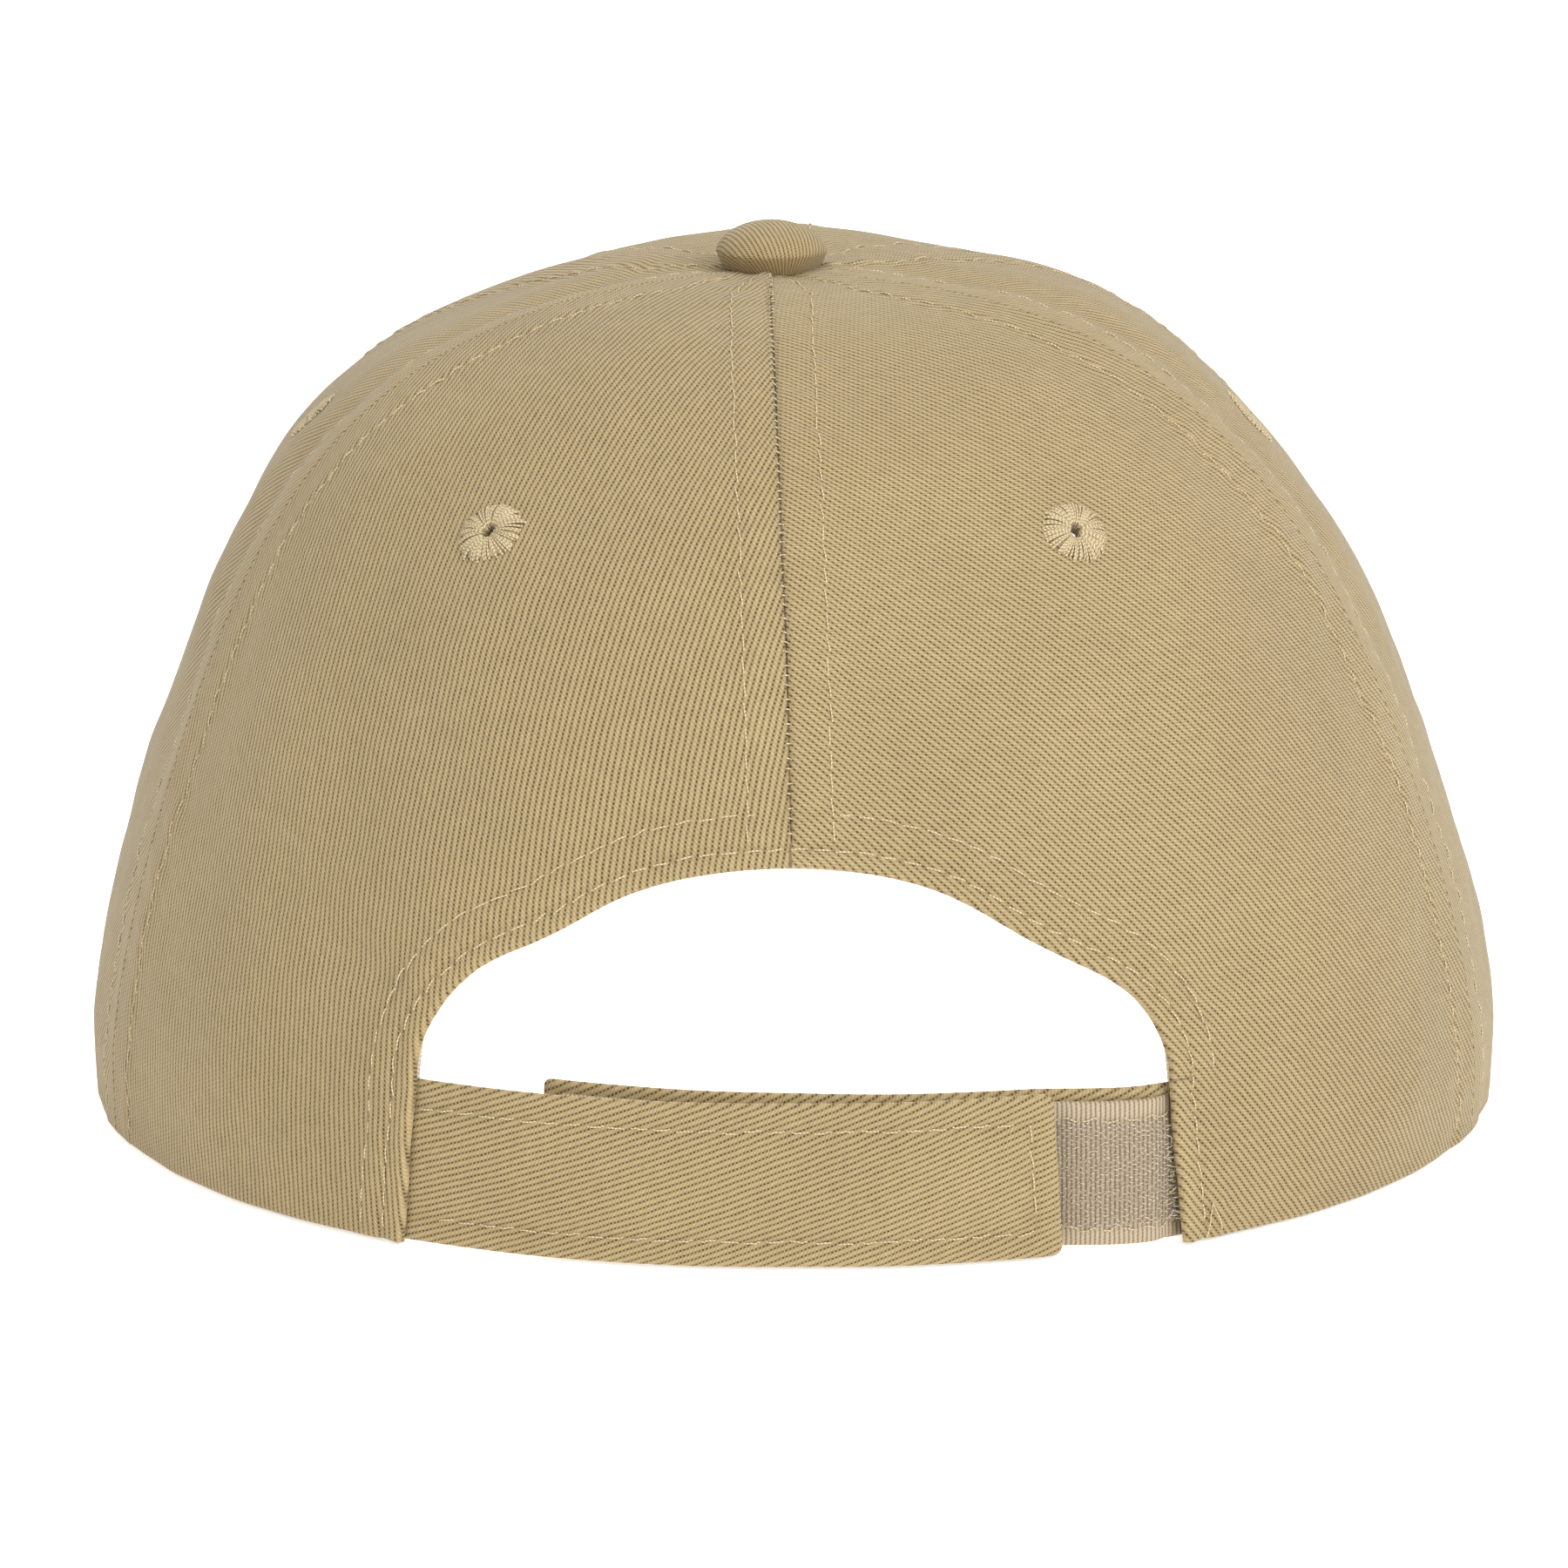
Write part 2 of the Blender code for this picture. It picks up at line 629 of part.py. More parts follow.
def strap(name, x_start, x_end, depths, span, look, lift=no_lift, rise=0.0):
    """A strip along the back hem between two places in x, rising to the surface by rise.

    span is its lower and upper edge, over the lift at each place.
    """
    xs = np.linspace(x_start, x_end, 3 + int(abs(x_end - x_start) / 0.005))
    azimuths = azimuth_at_x(xs, STRAP_LEVEL)
    shallower = rise * (1 - settle(xs))
    low, high = span
    middle = (low + high) / 2
    corners = [(depths[0], z) for z in (low, middle, high)]
    corners += [(depths[1], z) for z in (high, middle, low)]
    section = [wall(azimuths, z + lift(xs), depth - shallower) for depth, z in corners]
    return swept(name, np.stack(section, axis=1), look)


def make_strap():
    half = HINGE_GAP / 2
    whole = (0, STRAP_HEIGHT)
    strap("outer_tab_root", ROOT_END, HINGE_X + half, OUTER_TAB, whole, TWILL)
    strap("outer_tab", HINGE_X - half, OUTER_TAB_END, OUTER_TAB, whole, TWILL)
    loop_end = OUTER_TAB_END + TAPE_SETBACK
    strap("loop_tape", LOOP_TAPE_START, loop_end, LOOP_TAPE, LOOP_TAPE_SPAN, TAPE_CLOTH)
    whole = (0, INNER_STRAP_HEIGHT)
    strap("inner_tab_root", -ROOT_END, -HINGE_X - half, INNER_ROOT, whole, TWILL, inner_lift)
    start, rise = -HINGE_X + half, INNER_TAB_RISE
    strap("inner_tab", start, INNER_TAB_END, INNER_TAB, whole, TWILL, inner_lift, rise)
    under, over = HOOK_TAPE_MARGIN
    span, hook_end = (under, INNER_STRAP_HEIGHT - over), INNER_TAB_END - TAPE_SETBACK
    strap("hook_tape", start, hook_end, HOOK_TAPE, span, TAPE_CLOTH, inner_lift, rise)


def main():
    for old in list(bpy.data.objects):
        bpy.data.objects.remove(old)
    make_panels()
    make_tapes()
    make_binding()
    make_sweatband()
    make_eyelets()
    make_button()
    make_visor()
    make_strap()


main()
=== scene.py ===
"""The baseball cap as it looks: cloth, thread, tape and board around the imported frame.

The first part repeats the CAD's sizes and formulas, so that every piece lies where the CAD is.
Places are in metres. Crown places are given by azimuth (0 centre back, + towards +X, 180
front) and climb (0 at the widest line, 90 at the button), in degrees.
"""

import math

import bpy
import numpy as np
from mathutils import Matrix, Vector


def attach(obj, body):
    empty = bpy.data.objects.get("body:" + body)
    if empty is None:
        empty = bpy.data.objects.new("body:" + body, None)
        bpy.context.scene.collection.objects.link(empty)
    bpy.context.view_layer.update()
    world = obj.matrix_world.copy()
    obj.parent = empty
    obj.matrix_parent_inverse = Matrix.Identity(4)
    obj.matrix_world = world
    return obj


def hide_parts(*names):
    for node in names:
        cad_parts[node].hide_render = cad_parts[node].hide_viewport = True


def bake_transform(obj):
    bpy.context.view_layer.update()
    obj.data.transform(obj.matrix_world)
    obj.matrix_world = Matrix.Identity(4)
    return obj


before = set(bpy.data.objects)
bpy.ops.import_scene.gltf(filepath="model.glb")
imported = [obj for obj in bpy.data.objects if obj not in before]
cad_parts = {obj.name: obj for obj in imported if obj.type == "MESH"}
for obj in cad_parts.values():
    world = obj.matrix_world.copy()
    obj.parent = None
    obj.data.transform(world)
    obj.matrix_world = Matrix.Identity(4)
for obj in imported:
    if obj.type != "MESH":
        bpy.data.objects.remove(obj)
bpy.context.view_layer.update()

# ------------------------------------------------------------------ sizes, as in the CAD

HALF_WIDTH = 0.0879
HALF_BACK = 0.0938
HALF_FRONT = 0.1030
CROWN_HEIGHT = 0.1042
SQUARENESS = 2.13
SIDE_FULLNESS = (-0.006, -0.022, 0.019, 0.002)
BACK_FULLNESS = (0.0, -0.017, 0.012)
FRONT_FULLNESS = (0.0, -0.030, 0.0)
HEM_TUCK = 0.009
HEM_TUCK_HEIGHT = 0.008
FRONT_RISE = 0.0015
BUTTON_DIP = 0.0009
LEAN, LEAN_POWER = 0.0029, 2.8
CROWN_Y = 0.0389
BACK_SEAM = (67.5, 67.0, 54.0)
FRONT_SEAM = (118.0, 119.0, 122.0)
CENTRE_BACK = (0.0, 0.0, 0.0)
CENTRE_FRONT = (180.0, 180.0, 180.0)
APEX_RADIUS = 0.0027

PANEL_DEPTH = 0.0008
BUCKRAM = (0.0012, 0.0020)
TAPE = (0.0012, 0.0018)
FRONT_TAPE = (0.0024, 0.0030)
SWEATBAND = (0.0037, 0.0069)
SWEATBAND_HEIGHT = 0.033
TAPE_WIDTH = 0.013
TAPE_END_RADIUS = 0.018
TAPE_FOOT = 0.6  # degrees of climb from the hem to the start of a tape
BUCKRAM_INSET = 0.0016  # from the panel's seams
BUCKRAM_TOP_RADIUS = 0.014

ARCH_HALF_WIDTH = 0.0449
ARCH_TOP = 0.0466
ARCH_SPRING = 0.0200
ARCH_POWER = 1.9
ARCH_FOOT_HALF_WIDTH = 0.0466
SHOULDERS = {1: (0.029, 0.0080, 0.00175), -1: (0.030, 0.0105, 0.00275)}
BINDING_WIDTH = 0.009

HINGE_X = 0.0430
STRAP_LEVEL = 0.010
STRAP_HEIGHT = 0.0196
INNER_STRAP_HEIGHT = 0.0188
INNER_STRAP_LIFT = (0.0002, 0.0016)  # at the root and at the free end
OUTER_TAB_END = -0.0318
OUTER_TAB_SLANT = 0.0006
INNER_TAB_END = 0.0314
ROOT_END = 0.0600
INNER_ROOT_END = 0.0565
OUTER_TAB = (0.0012, 0.0026)
LOOP_TAPE = (0.0029, 0.0038)
HOOK_TAPE = (0.0041, 0.0049)
INNER_TAB = (0.0052, 0.0064)
INNER_TAB_RISE = 0.0031
INNER_TAB_SETTLED = -0.0290
HOOK_TAPE_MARGIN = (0.0002, 0.0012)
LOOP_TAPE_SPAN = (0.0009, 0.0187)
LOOP_TAPE_START = 0.0260
TAPE_SETBACK = 0.0025

VISOR_HALF_WIDTH = 0.0870
VISOR_LENGTH = 0.1220
VISOR_WIDEST_Y = -0.0500
VISOR_POWER = 2.25
VISOR_TOP = 0.0156
VISOR_ARCH_RADIUS = 0.300
VISOR_SLOPE = 0.05
VISOR_SPAN = 67.0  # degrees of azimuth to each side of the front that the board takes
VISOR_SWEEP = 93.0  # angle on the visor's outline at the board's ends
COVER_SPAN = 68.7  # the covers close round the board's ends
VISOR_TUCK = 0.0031
VISOR_THICKNESS = 0.0042
GAP = 0.0003

EYELETS = {"back": (32.0, 47.4), "side": (86.0, 50.5), "front": (148.0, 47.0)}
PANEL_HOLE = 0.0021
EYELET_RISE = 0.00075
BUTTON_RADIUS = 0.0070
BUTTON_HEIGHT = 0.0060

SIDES = ((1, "left"), (-1, "right"))
GORES = {
    "back": (CENTRE_BACK, BACK_SEAM),
    "side": (BACK_SEAM, FRONT_SEAM),
    "front": (FRONT_SEAM, CENTRE_FRONT),
}


# ------------------------------------------------------------------ the crown surface


def fullness(terms, climb):
    """How far a profile stands out beside a plain ellipse's, by height."""
    total = np.ones_like(climb)
    for k, size in enumerate(terms, start=1):
        total = total + size * (np.cos(2 * k * climb) - (-1) ** k)
    return total


def smooth(value, start, end):
    """0 before start to 1 past end, with a smooth change between."""
    t = np.clip((value - start) / (end - start), 0, 1)
    return t * t * (3 - 2 * t)


def bump(value, width):
    """1 where value is 0, falling away to about 0 at twice the width."""
    return np.exp(-((value / width) ** 2))


def point(azimuth, climb):
    """Points of the outer surface, relative to the button's axis."""
    azimuth, climb = np.broadcast_arrays(np.radians(azimuth), np.radians(climb))
    azimuth, climb = azimuth.astype(float), climb.astype(float)
    out, up = np.cos(climb), np.sin(climb)
    side = fullness(SIDE_FULLNESS, climb)
    back = np.cos(azimuth) > 0
    end = np.where(back, fullness(BACK_FULLNESS, climb), fullness(FRONT_FULLNESS, climb))
    half_end = np.where(back, HALF_BACK, HALF_FRONT)
    sideways = np.sin(azimuth) ** 2
    z = CROWN_HEIGHT * up * (side * sideways + end * (1 - sideways))
    power = 2 + (SQUARENESS - 2) * out**2
    across = (np.abs(np.sin(azimuth)) / np.maximum(HALF_WIDTH * side * out, 1e-7)) ** power
    along = (np.abs(np.cos(azimuth)) / np.maximum(half_end * end * out, 1e-7)) ** power
    radius = (across + along) ** (-1 / power)
    radius = radius * (1 - HEM_TUCK * bump(z, HEM_TUCK_HEIGHT))
    forward = np.clip(-np.cos(azimuth), 0, 1) ** 1.5
    z = z + FRONT_RISE * forward * smooth(radius, 0.008, 0.030) * (1 - smooth(radius, 0.035, 0.080))
    z = z - BUTTON_DIP * (1 - smooth(radius, 0.004, 0.035))
    return stacked(radius * np.sin(azimuth), radius * np.cos(azimuth), z)


def stacked(*parts):
    """Vectors from their parts, which may have any shapes that fit together."""
    return np.stack(np.broadcast_arrays(*parts), axis=-1)


def unit(vectors):
    return vectors / np.maximum(np.linalg.norm(vectors, axis=-1, keepdims=True), 1e-12)


def normal(azimuth, climb):
    """Outward directions of the plain surface."""
    step = 0.05
    around = point(azimuth + step, climb) - point(azimuth - step, climb)
    upward = point(azimuth, climb + step) - point(azimuth, climb - step)
    return unit(np.cross(upward, around))


def climb_where(azimuth, measure, target, low=-8.0, high=89.9):
    """The climb at which a measure that grows with it reaches the target."""
    azimuth, target = np.broadcast_arrays(np.asarray(azimuth, float), np.asarray(target, float))
    low, high = np.full(azimuth.shape, low), np.full(azimuth.shape, high)
    for _ in range(34):
        middle = (low + high) / 2
        past = measure(point(azimuth, middle)) >= target
        low, high = np.where(past, low, middle), np.where(past, middle, high)
    return (low + high) / 2


def height(points):
    return points[..., 2]


def closeness(points):
    """A measure that grows towards the button's axis."""
    return -np.hypot(points[..., 0], points[..., 1])


def visor_top(x, y):
    """Height of the visor's upper face."""
    return VISOR_TOP - x**2 / (2 * VISOR_ARCH_RADIUS) + VISOR_SLOPE * (y + HALF_FRONT)


def hem_height(azimuth):
    """0 at the back and sides, rising in front to sit on the visor."""
    azimuth = np.abs(np.asarray(azimuth, float))
    rim = point(azimuth, 0.0)
    return smooth(azimuth, 93.0, 112.0) * (visor_top(rim[..., 0], rim[..., 1]) + GAP)


def hem_climb(azimuth):
    return climb_where(azimuth, height, hem_height(azimuth))


def level_normal(azimuth, climb):
    """Outward directions with no slope."""
    facing = normal(azimuth, climb)
    facing[..., 2] = 0
    return unit(facing)


def wall(azimuth, z, depth):
    """A point at height z, depth inside the outer surface, measured level."""
    found = climb_where(azimuth, height, z, high=60.0)
    return point(azimuth, found) - level_normal(azimuth, found) * np.asarray(depth)[..., None]


def seam(angles, climb):
    """Azimuth of a seam, given at the hem, halfway and at the top."""
    hem, middle, top = angles
    t = np.sin(np.radians(np.clip(climb, 0, 90))) ** 2
    return hem + (top - hem) * t + (middle - (hem + top) / 2) * 4 * t * (1 - t)


def locate(x, z):
    """Azimuth and climb of the place on the back wall with this x and z."""
    x, z = np.broadcast_arrays(np.asarray(x, float), np.asarray(z, float))
    azimuth = np.degrees(np.arcsin(np.clip(x / HALF_WIDTH, -0.95, 0.95)))
    climb = np.degrees(np.arcsin(np.clip(z / CROWN_HEIGHT, -0.2, 0.95)))
    step = 0.02
    for _ in range(14):
        here = point(azimuth, climb)
        around = (point(azimuth + step, climb) - here) / step
        upward = (point(azimuth, climb + step) - here) / step
        off_x, off_z = x - here[..., 0], z - here[..., 2]
        area = around[..., 0] * upward[..., 2] - around[..., 2] * upward[..., 0]
        azimuth = azimuth + (off_x * upward[..., 2] - off_z * upward[..., 0]) / area
        climb = climb + (around[..., 0] * off_z - around[..., 2] * off_x) / area
    return azimuth, climb


def strap_place(x, z, depth):
    """A point of the back wall, depth inside it, and the level direction out of it."""
    azimuth, climb = locate(x, z)
    facing = level_normal(azimuth, climb)
    return point(azimuth, climb) - facing * np.asarray(depth)[..., None], facing


# ------------------------------------------------------------------ helpers


def lengths(points, axis=0):
    """Distance travelled along an axis of points, from 0."""
    steps = np.linalg.norm(np.diff(points, axis=axis), axis=-1)
    start = np.zeros_like(np.take(steps, [0], axis=axis))
    return np.concatenate([start, np.cumsum(steps, axis=axis)], axis=axis)


def along_line(points, step):
    """A line resampled at an even step."""
    run = lengths(points)
    wanted = np.linspace(0, run[-1], max(2, int(round(run[-1] / step)) + 1))
    return np.stack([np.interp(wanted, run, points[:, k]) for k in range(points.shape[1])], axis=1)


def ripple(place, wavelength, seed, terms=6):
    """Smooth noise along a line, about -1 to 1."""
    rng = np.random.default_rng(seed)
    total = 0
    for _ in range(terms):
        size = wavelength * rng.uniform(0.6, 1.8)
        total = total + np.sin(2 * np.pi * place / size + rng.uniform(0, 6.28))
    return total / math.sqrt(terms / 2) / 1.6


def waves(u, v, wavelength, seed, terms=14):
    """Smooth noise over a surface, about -1 to 1."""
    rng = np.random.default_rng(seed)
    total = 0
    for _ in range(terms):
        angle, size = rng.uniform(0, 2 * np.pi), wavelength * rng.uniform(0.6, 1.7)
        place = u * math.cos(angle) + v * math.sin(angle)
        total = total + np.sin(2 * np.pi * place / size + rng.uniform(0, 6.28))
    return total / math.sqrt(terms / 2) / 1.6


def grid_faces(rows, columns, wrap=False, start=0):
    """Quads of a grid of points; wrap joins the last column to the first."""
    i, j = np.meshgrid(np.arange(rows - 1), np.arange(columns if wrap else columns - 1), indexing="ij")
    after = (j + 1) % columns
    low, high = i * columns, (i + 1) * columns
    return np.stack([low + j, low + after, high + after, high + j], axis=-1).reshape(-1, 4) + start


def turned(faces, flip):
    return faces[:, ::-1] if flip else faces


def shell(outer, inner, faces):
    """Closes two copies of one sheet of faces into a solid; faces turn outwards on outer."""
    outer, inner = outer.reshape(-1, 3), inner.reshape(-1, 3)
    count = len(outer)
    edges = np.concatenate([faces[:, [0, 1]], faces[:, [1, 2]], faces[:, [2, 3]], faces[:, [3, 0]]])
    key = edges[:, 0].astype(np.int64) * count + edges[:, 1]
    back = edges[:, 1].astype(np.int64) * count + edges[:, 0]
    rim = edges[~np.isin(key, back)]
    sides = np.stack([rim[:, 1], rim[:, 0], rim[:, 0] + count, rim[:, 1] + count], axis=1)
    return np.concatenate([outer, inner]), np.concatenate([faces, faces[:, ::-1] + count, sides])


def placed(points, way=1):
    """Crown points leaned towards +X near the button and moved to the cap's frame; way -1
    takes them back."""
    points = np.array(points, float)
    points[..., 0] += way * LEAN * np.clip(points[..., 2] / CROWN_HEIGHT, 0, 1) ** LEAN_POWER
    return points + [0, way * CROWN_Y, 0]


def quad_area(points, faces):
    """Area of all the quads."""
    corners = points.reshape(-1, 3)[faces]
    crossed = np.cross(corners[:, 2] - corners[:, 0], corners[:, 3] - corners[:, 1])
    return float(np.linalg.norm(crossed, axis=1).sum() / 2)


def build(name, points, faces, look, body, slot, cloth, tone=0.0):
    """An object from points and quads given relative to the button's axis. Cloth places and
    tones that are given for one skin of a shell serve both."""
    used, quads = np.unique(faces, return_inverse=True)
    cloth = cloth.reshape(-1, 3)
    cloth = np.tile(cloth, (len(points) // len(cloth), 1))[used]
    tone = np.broadcast_to(tone, np.shape(tone) or len(points)).ravel()
    tone = np.tile(tone, len(points) // len(tone))[used]
    mesh = bpy.data.meshes.new(name)
    mesh.from_pydata(placed(points[used]), [], quads.reshape(-1, 4).tolist())
    mesh.attributes.new("cloth", "FLOAT_VECTOR", "POINT").data.foreach_set("vector", cloth.ravel())
    mesh.attributes.new("tone", "FLOAT", "POINT").data.foreach_set("value", tone)
    mesh.validate()
    mesh.shade_smooth()
    made = bpy.data.objects.new(name, mesh)
    bpy.context.scene.collection.objects.link(made)
    mesh.materials.append(look)
    if body:
        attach(made, body)
    return made


def sideways(line, facing):
    """Unit directions across a line on a surface."""
    return unit(np.cross(unit(np.gradient(line, axis=0)), facing))


def tubes(centres, ups, radius, sides=6):
    """Tubes with open ends through centres of shape (count, rings, 3), with their cloth coordinates."""
    count, rings = centres.shape[:2]
    tangent = unit(np.gradient(centres, axis=1))
    side = unit(np.cross(tangent, ups))
    upright = np.cross(side, tangent)
    angle = 2 * np.pi * np.arange(sides) / sides
    radius = np.broadcast_to(radius, (count, rings))[..., None, None]
    ring = side[:, :, None] * np.cos(angle)[:, None] + upright[:, :, None] * np.sin(angle)[:, None]
    points = centres[:, :, None] + radius * ring
    cloth = stacked(lengths(centres, axis=1)[:, :, None], angle / 6.2832, 0.0)
    one = grid_faces(rings, sides, wrap=True)
    faces = (one[None] + (np.arange(count) * rings * sides)[:, None, None]).reshape(-1, 4)
    return points.reshape(-1, 3), faces, cloth.reshape(-1, 3)


def stitch_tubes(line, facing, pitch, seed, share=0.88, sink=0.00020, wander=0.00007):
    """One row of stitches along a line that lies on the cloth; share is how much of the pitch
    shows, sink how deep its ends go and wander how far they stray."""
    radius, rise, slant = 0.000105, 0.00013, 0.00007
    run = lengths(line)
    rng = np.random.default_rng(seed)
    count = int(run[-1] / pitch)
    starts = (np.arange(count) + (1 - share) / 2) * pitch + rng.normal(0, 0.03 * pitch, count)
    t = np.linspace(0, 1, 9)
    place = starts[:, None] + pitch * share * t
    across = sideways(line, facing)
    centre, up, side = (
        np.stack([np.interp(place, run, values[:, k]) for k in range(3)], axis=-1)
        for values in (line, facing, across)
    )
    arch = np.sin(np.pi * t) ** 0.55
    slack = 1 + rng.normal(0, 0.25, (count, 1))
    lift = (rise * slack + sink) * arch - sink
    sway = rng.normal(0, wander, (count, 1)) + (slant + rng.normal(0, wander, (count, 1))) * np.cos(np.pi * t)
    centre = centre + up * lift[..., None] + side * sway[..., None]
    thick = radius * (0.8 + 0.2 * np.sin(np.pi * t)) * np.ones((count, 1))
    return tubes(centre, up, thick)


def join(parts):
    """Several (points, faces, cloth) as one."""
    points, faces, cloth, start = [], [], [], 0
    for p, f, c in parts:
        points.append(p)
        faces.append(f + start)
        cloth.append(c)
        start += len(p)
    return np.concatenate(points), np.concatenate(faces), np.concatenate(cloth)


def build_stitches(name, parts, body="crown"):
    points, faces, cloth = join(parts)
    return build(name, points, faces, THREAD, body, "khaki_thread", cloth)


# ------------------------------------------------------------------ materials


class Wire:
    """A shader value that can be written in a formula."""

    def __init__(self, tree, socket):
        self.tree, self.socket = tree, socket

    def op(self, operation, *others):
        node = self.tree.nodes.new("ShaderNodeMath")
        node.operation = operation
        for k, value in enumerate((self, *others)):
            if isinstance(value, Wire):
                self.tree.links.new(value.socket, node.inputs[k])
            else:
                node.inputs[k].default_value = value
        return Wire(self.tree, node.outputs[0])

    def __add__(self, other):
        return self.op("ADD", other)

    def __sub__(self, other):
        return self.op("SUBTRACT", other)

    def __mul__(self, other):
        return self.op("MULTIPLY", other)

    __radd__, __rmul__ = __add__, __mul__

    def __rsub__(self, other):
        return self.op("MULTIPLY_ADD", -1.0, other)

    def clipped(self):
        made = self.op("ADD", 0.0)
        made.socket.node.use_clamp = True
        return made


class Paint:
    """A material under construction."""

    def __init__(self, name, roughness=0.85, metallic=0.0, sheen=0.0, specular=0.35):
        self.made = bpy.data.materials.new(name)
        self.made.use_nodes = True
        self.tree = self.made.node_tree
        self.shader = self.tree.nodes["Principled BSDF"]
        values = {"Roughness": roughness, "Metallic": metallic, "Specular IOR Level": specular}
        values |= {"Sheen Weight": sheen, "Sheen Roughness": 0.45}
        for key, value in values.items():
            self.shader.inputs[key].default_value = value
        self.shader.inputs["Sheen Tint"].default_value = (1.0, 0.98, 0.94, 1)

    def wire(self, socket):
        return Wire(self.tree, socket)

    def cloth(self):
        """The place on the cloth: the mesh attribute that build() writes."""
        node = self.tree.nodes.new("ShaderNodeAttribute")
        node.attribute_name = "cloth"
        return node.outputs["Vector"]

    def tone(self):
        """How much lighter (+) or darker (-) a place is."""
        node = self.tree.nodes.new("ShaderNodeAttribute")
        node.attribute_name = "tone"
        return self.wire(node.outputs["Fac"])

    def split(self, socket):
        node = self.tree.nodes.new("ShaderNodeSeparateXYZ")
        self.tree.links.new(socket, node.inputs[0])
        return [self.wire(out) for out in node.outputs]

    def vector(self, *values):
        node = self.tree.nodes.new("ShaderNodeCombineXYZ")
        for k, value in enumerate(values):
            if isinstance(value, Wire):
                self.tree.links.new(value.socket, node.inputs[k])
            else:
                node.inputs[k].default_value = value
        return node.outputs[0]

    def noise(self, place, scale, detail=2.0, roughness=0.5):
        node = self.tree.nodes.new("ShaderNodeTexNoise")
        self.tree.links.new(place, node.inputs["Vector"])
        node.inputs["Scale"].default_value = scale
        node.inputs["Detail"].default_value = detail
        node.inputs["Roughness"].default_value = roughness
        return self.wire(node.outputs["Fac"])

    def object_place(self):
        return self.tree.nodes.new("ShaderNodeTexCoord").outputs["Object"]

    def ramp(self, value, stops):
        node = self.tree.nodes.new("ShaderNodeValToRGB")
        self.tree.links.new(value.socket, node.inputs[0])
        ramp = node.color_ramp
        while len(ramp.elements) < len(stops):
            ramp.elements.new(0.5)
        for element, (place, colour) in zip(ramp.elements, stops):
            element.position = place
            element.color = (*srgb(colour), 1)
        return node.outputs[0]

    def scaled(self, colour, factor):
        """A colour multiplied by a value."""
        node = self.tree.nodes.new("ShaderNodeVectorMath")
        node.operation = "SCALE"
        self.tree.links.new(colour, node.inputs[0])
        self.tree.links.new(factor.socket, node.inputs["Scale"])
        return node.outputs[0]

    def finish(self, colour, bump=None, depth=0.0001, roughness=None):
        self.tree.links.new(colour, self.shader.inputs["Base Color"])
        if bump is not None:
            node = self.tree.nodes.new("ShaderNodeBump")
            node.inputs["Strength"].default_value = 1.0
            node.inputs["Distance"].default_value = depth
            self.tree.links.new(bump.socket, node.inputs["Height"])
            self.tree.links.new(node.outputs[0], self.shader.inputs["Normal"])
        if roughness is not None:
            self.tree.links.new(roughness.socket, self.shader.inputs["Roughness"])
        return self.made


def srgb(colour):
    """Linear values of a colour given as 0 to 255."""
    return [c / 255 / 12.92 if c <= 10 else ((c / 255 + 0.055) / 1.055) ** 2.4 for c in colour]


YARN = 0.00037  # from one yarn of the twill to the next


def twill_paint(name, dark, middle, light):
    """Two-over-one twill. The cloth attribute gives places along and across the wale."""
    paint = Paint(name, roughness=0.88, sheen=0.25, specular=0.25)
    cloth = paint.cloth()
    tone = paint.tone()
    along, across, _ = paint.split(cloth)
    sway = paint.noise(cloth, 260.0, 1.0) - 0.5
    sway_more = paint.noise(paint.vector(along, across, 0.37), 900.0, 1.0) - 0.5
    across = across + sway * 0.00024 + sway_more * 0.00011
    s = (across - along) * (math.sqrt(0.5) / YARN)
    t = (across + along) * (math.sqrt(0.5) / YARN)
    i, j = s.op("FLOOR"), t.op("FLOOR")
    in_s, in_t = s - i - 0.5, t - j - 0.5
    over = (t + i).op("WRAP", 3.0, 0.0)
    under = (s + j).op("WRAP", 3.0, 0.0)

    def bell(value, centre, width):
        away = (value - centre) * (1 / width)
        return (away * away * -1.0).op("EXPONENT")

    dip = bell(over, 0.5, 0.62) + bell(over, 3.5, 0.62) + bell(over, -2.5, 0.62)
    warp = 0.72 - dip * 0.40 - in_s * in_s * 1.15
    rise = bell(under, 0.5, 0.55) + bell(under, 3.5, 0.55) + bell(under, -2.5, 0.55)
    weft = rise * 0.34 + 0.04 - in_t * in_t * 1.0
    # a pit lies where four yarns meet, at every third meeting
    near_s, near_t = s.op("ROUND"), t.op("ROUND")
    every_third = bell((near_s + near_t).op("WRAP", 3.0, 0.0), 1.0, 0.3)
    pit = bell(s - near_s, 0.0, 0.36) * bell(t - near_t, 0.0, 0.36) * every_third
    pit = pit * (paint.noise(cloth, 640.0, 1.0) * 1.3 + 0.35)
    yarn = paint.noise(paint.vector(i * 3.7, t * 0.13, 0.0), 1.0, 1.0)
    fuzz = paint.noise(cloth, 5200.0, 2.0, 0.7)
    relief_map = warp.op("SMOOTH_MAX", weft, 0.12) + (yarn - 0.5) * 0.26 + (fuzz - 0.5) * 0.34 - pit * 0.60
    place = paint.object_place()
    wash = paint.noise(place, 55.0, 3.0, 0.55)
    blotch = paint.noise(place, 16.0, 1.0)
    # painted shade: the colour ramp darkens the weave's low places by their relief, and - pit darkens the
    # pits further
    colour = paint.ramp(relief_map.clipped(), [(0.0, dark), (0.40, middle), (0.85, light)])
    level = 1.07 + (wash - 0.5) * 0.20 + (blotch - 0.5) * 0.06 + tone * 0.16 - pit * 0.66
    return paint.finish(paint.scaled(colour, level), relief_map, 0.00009)


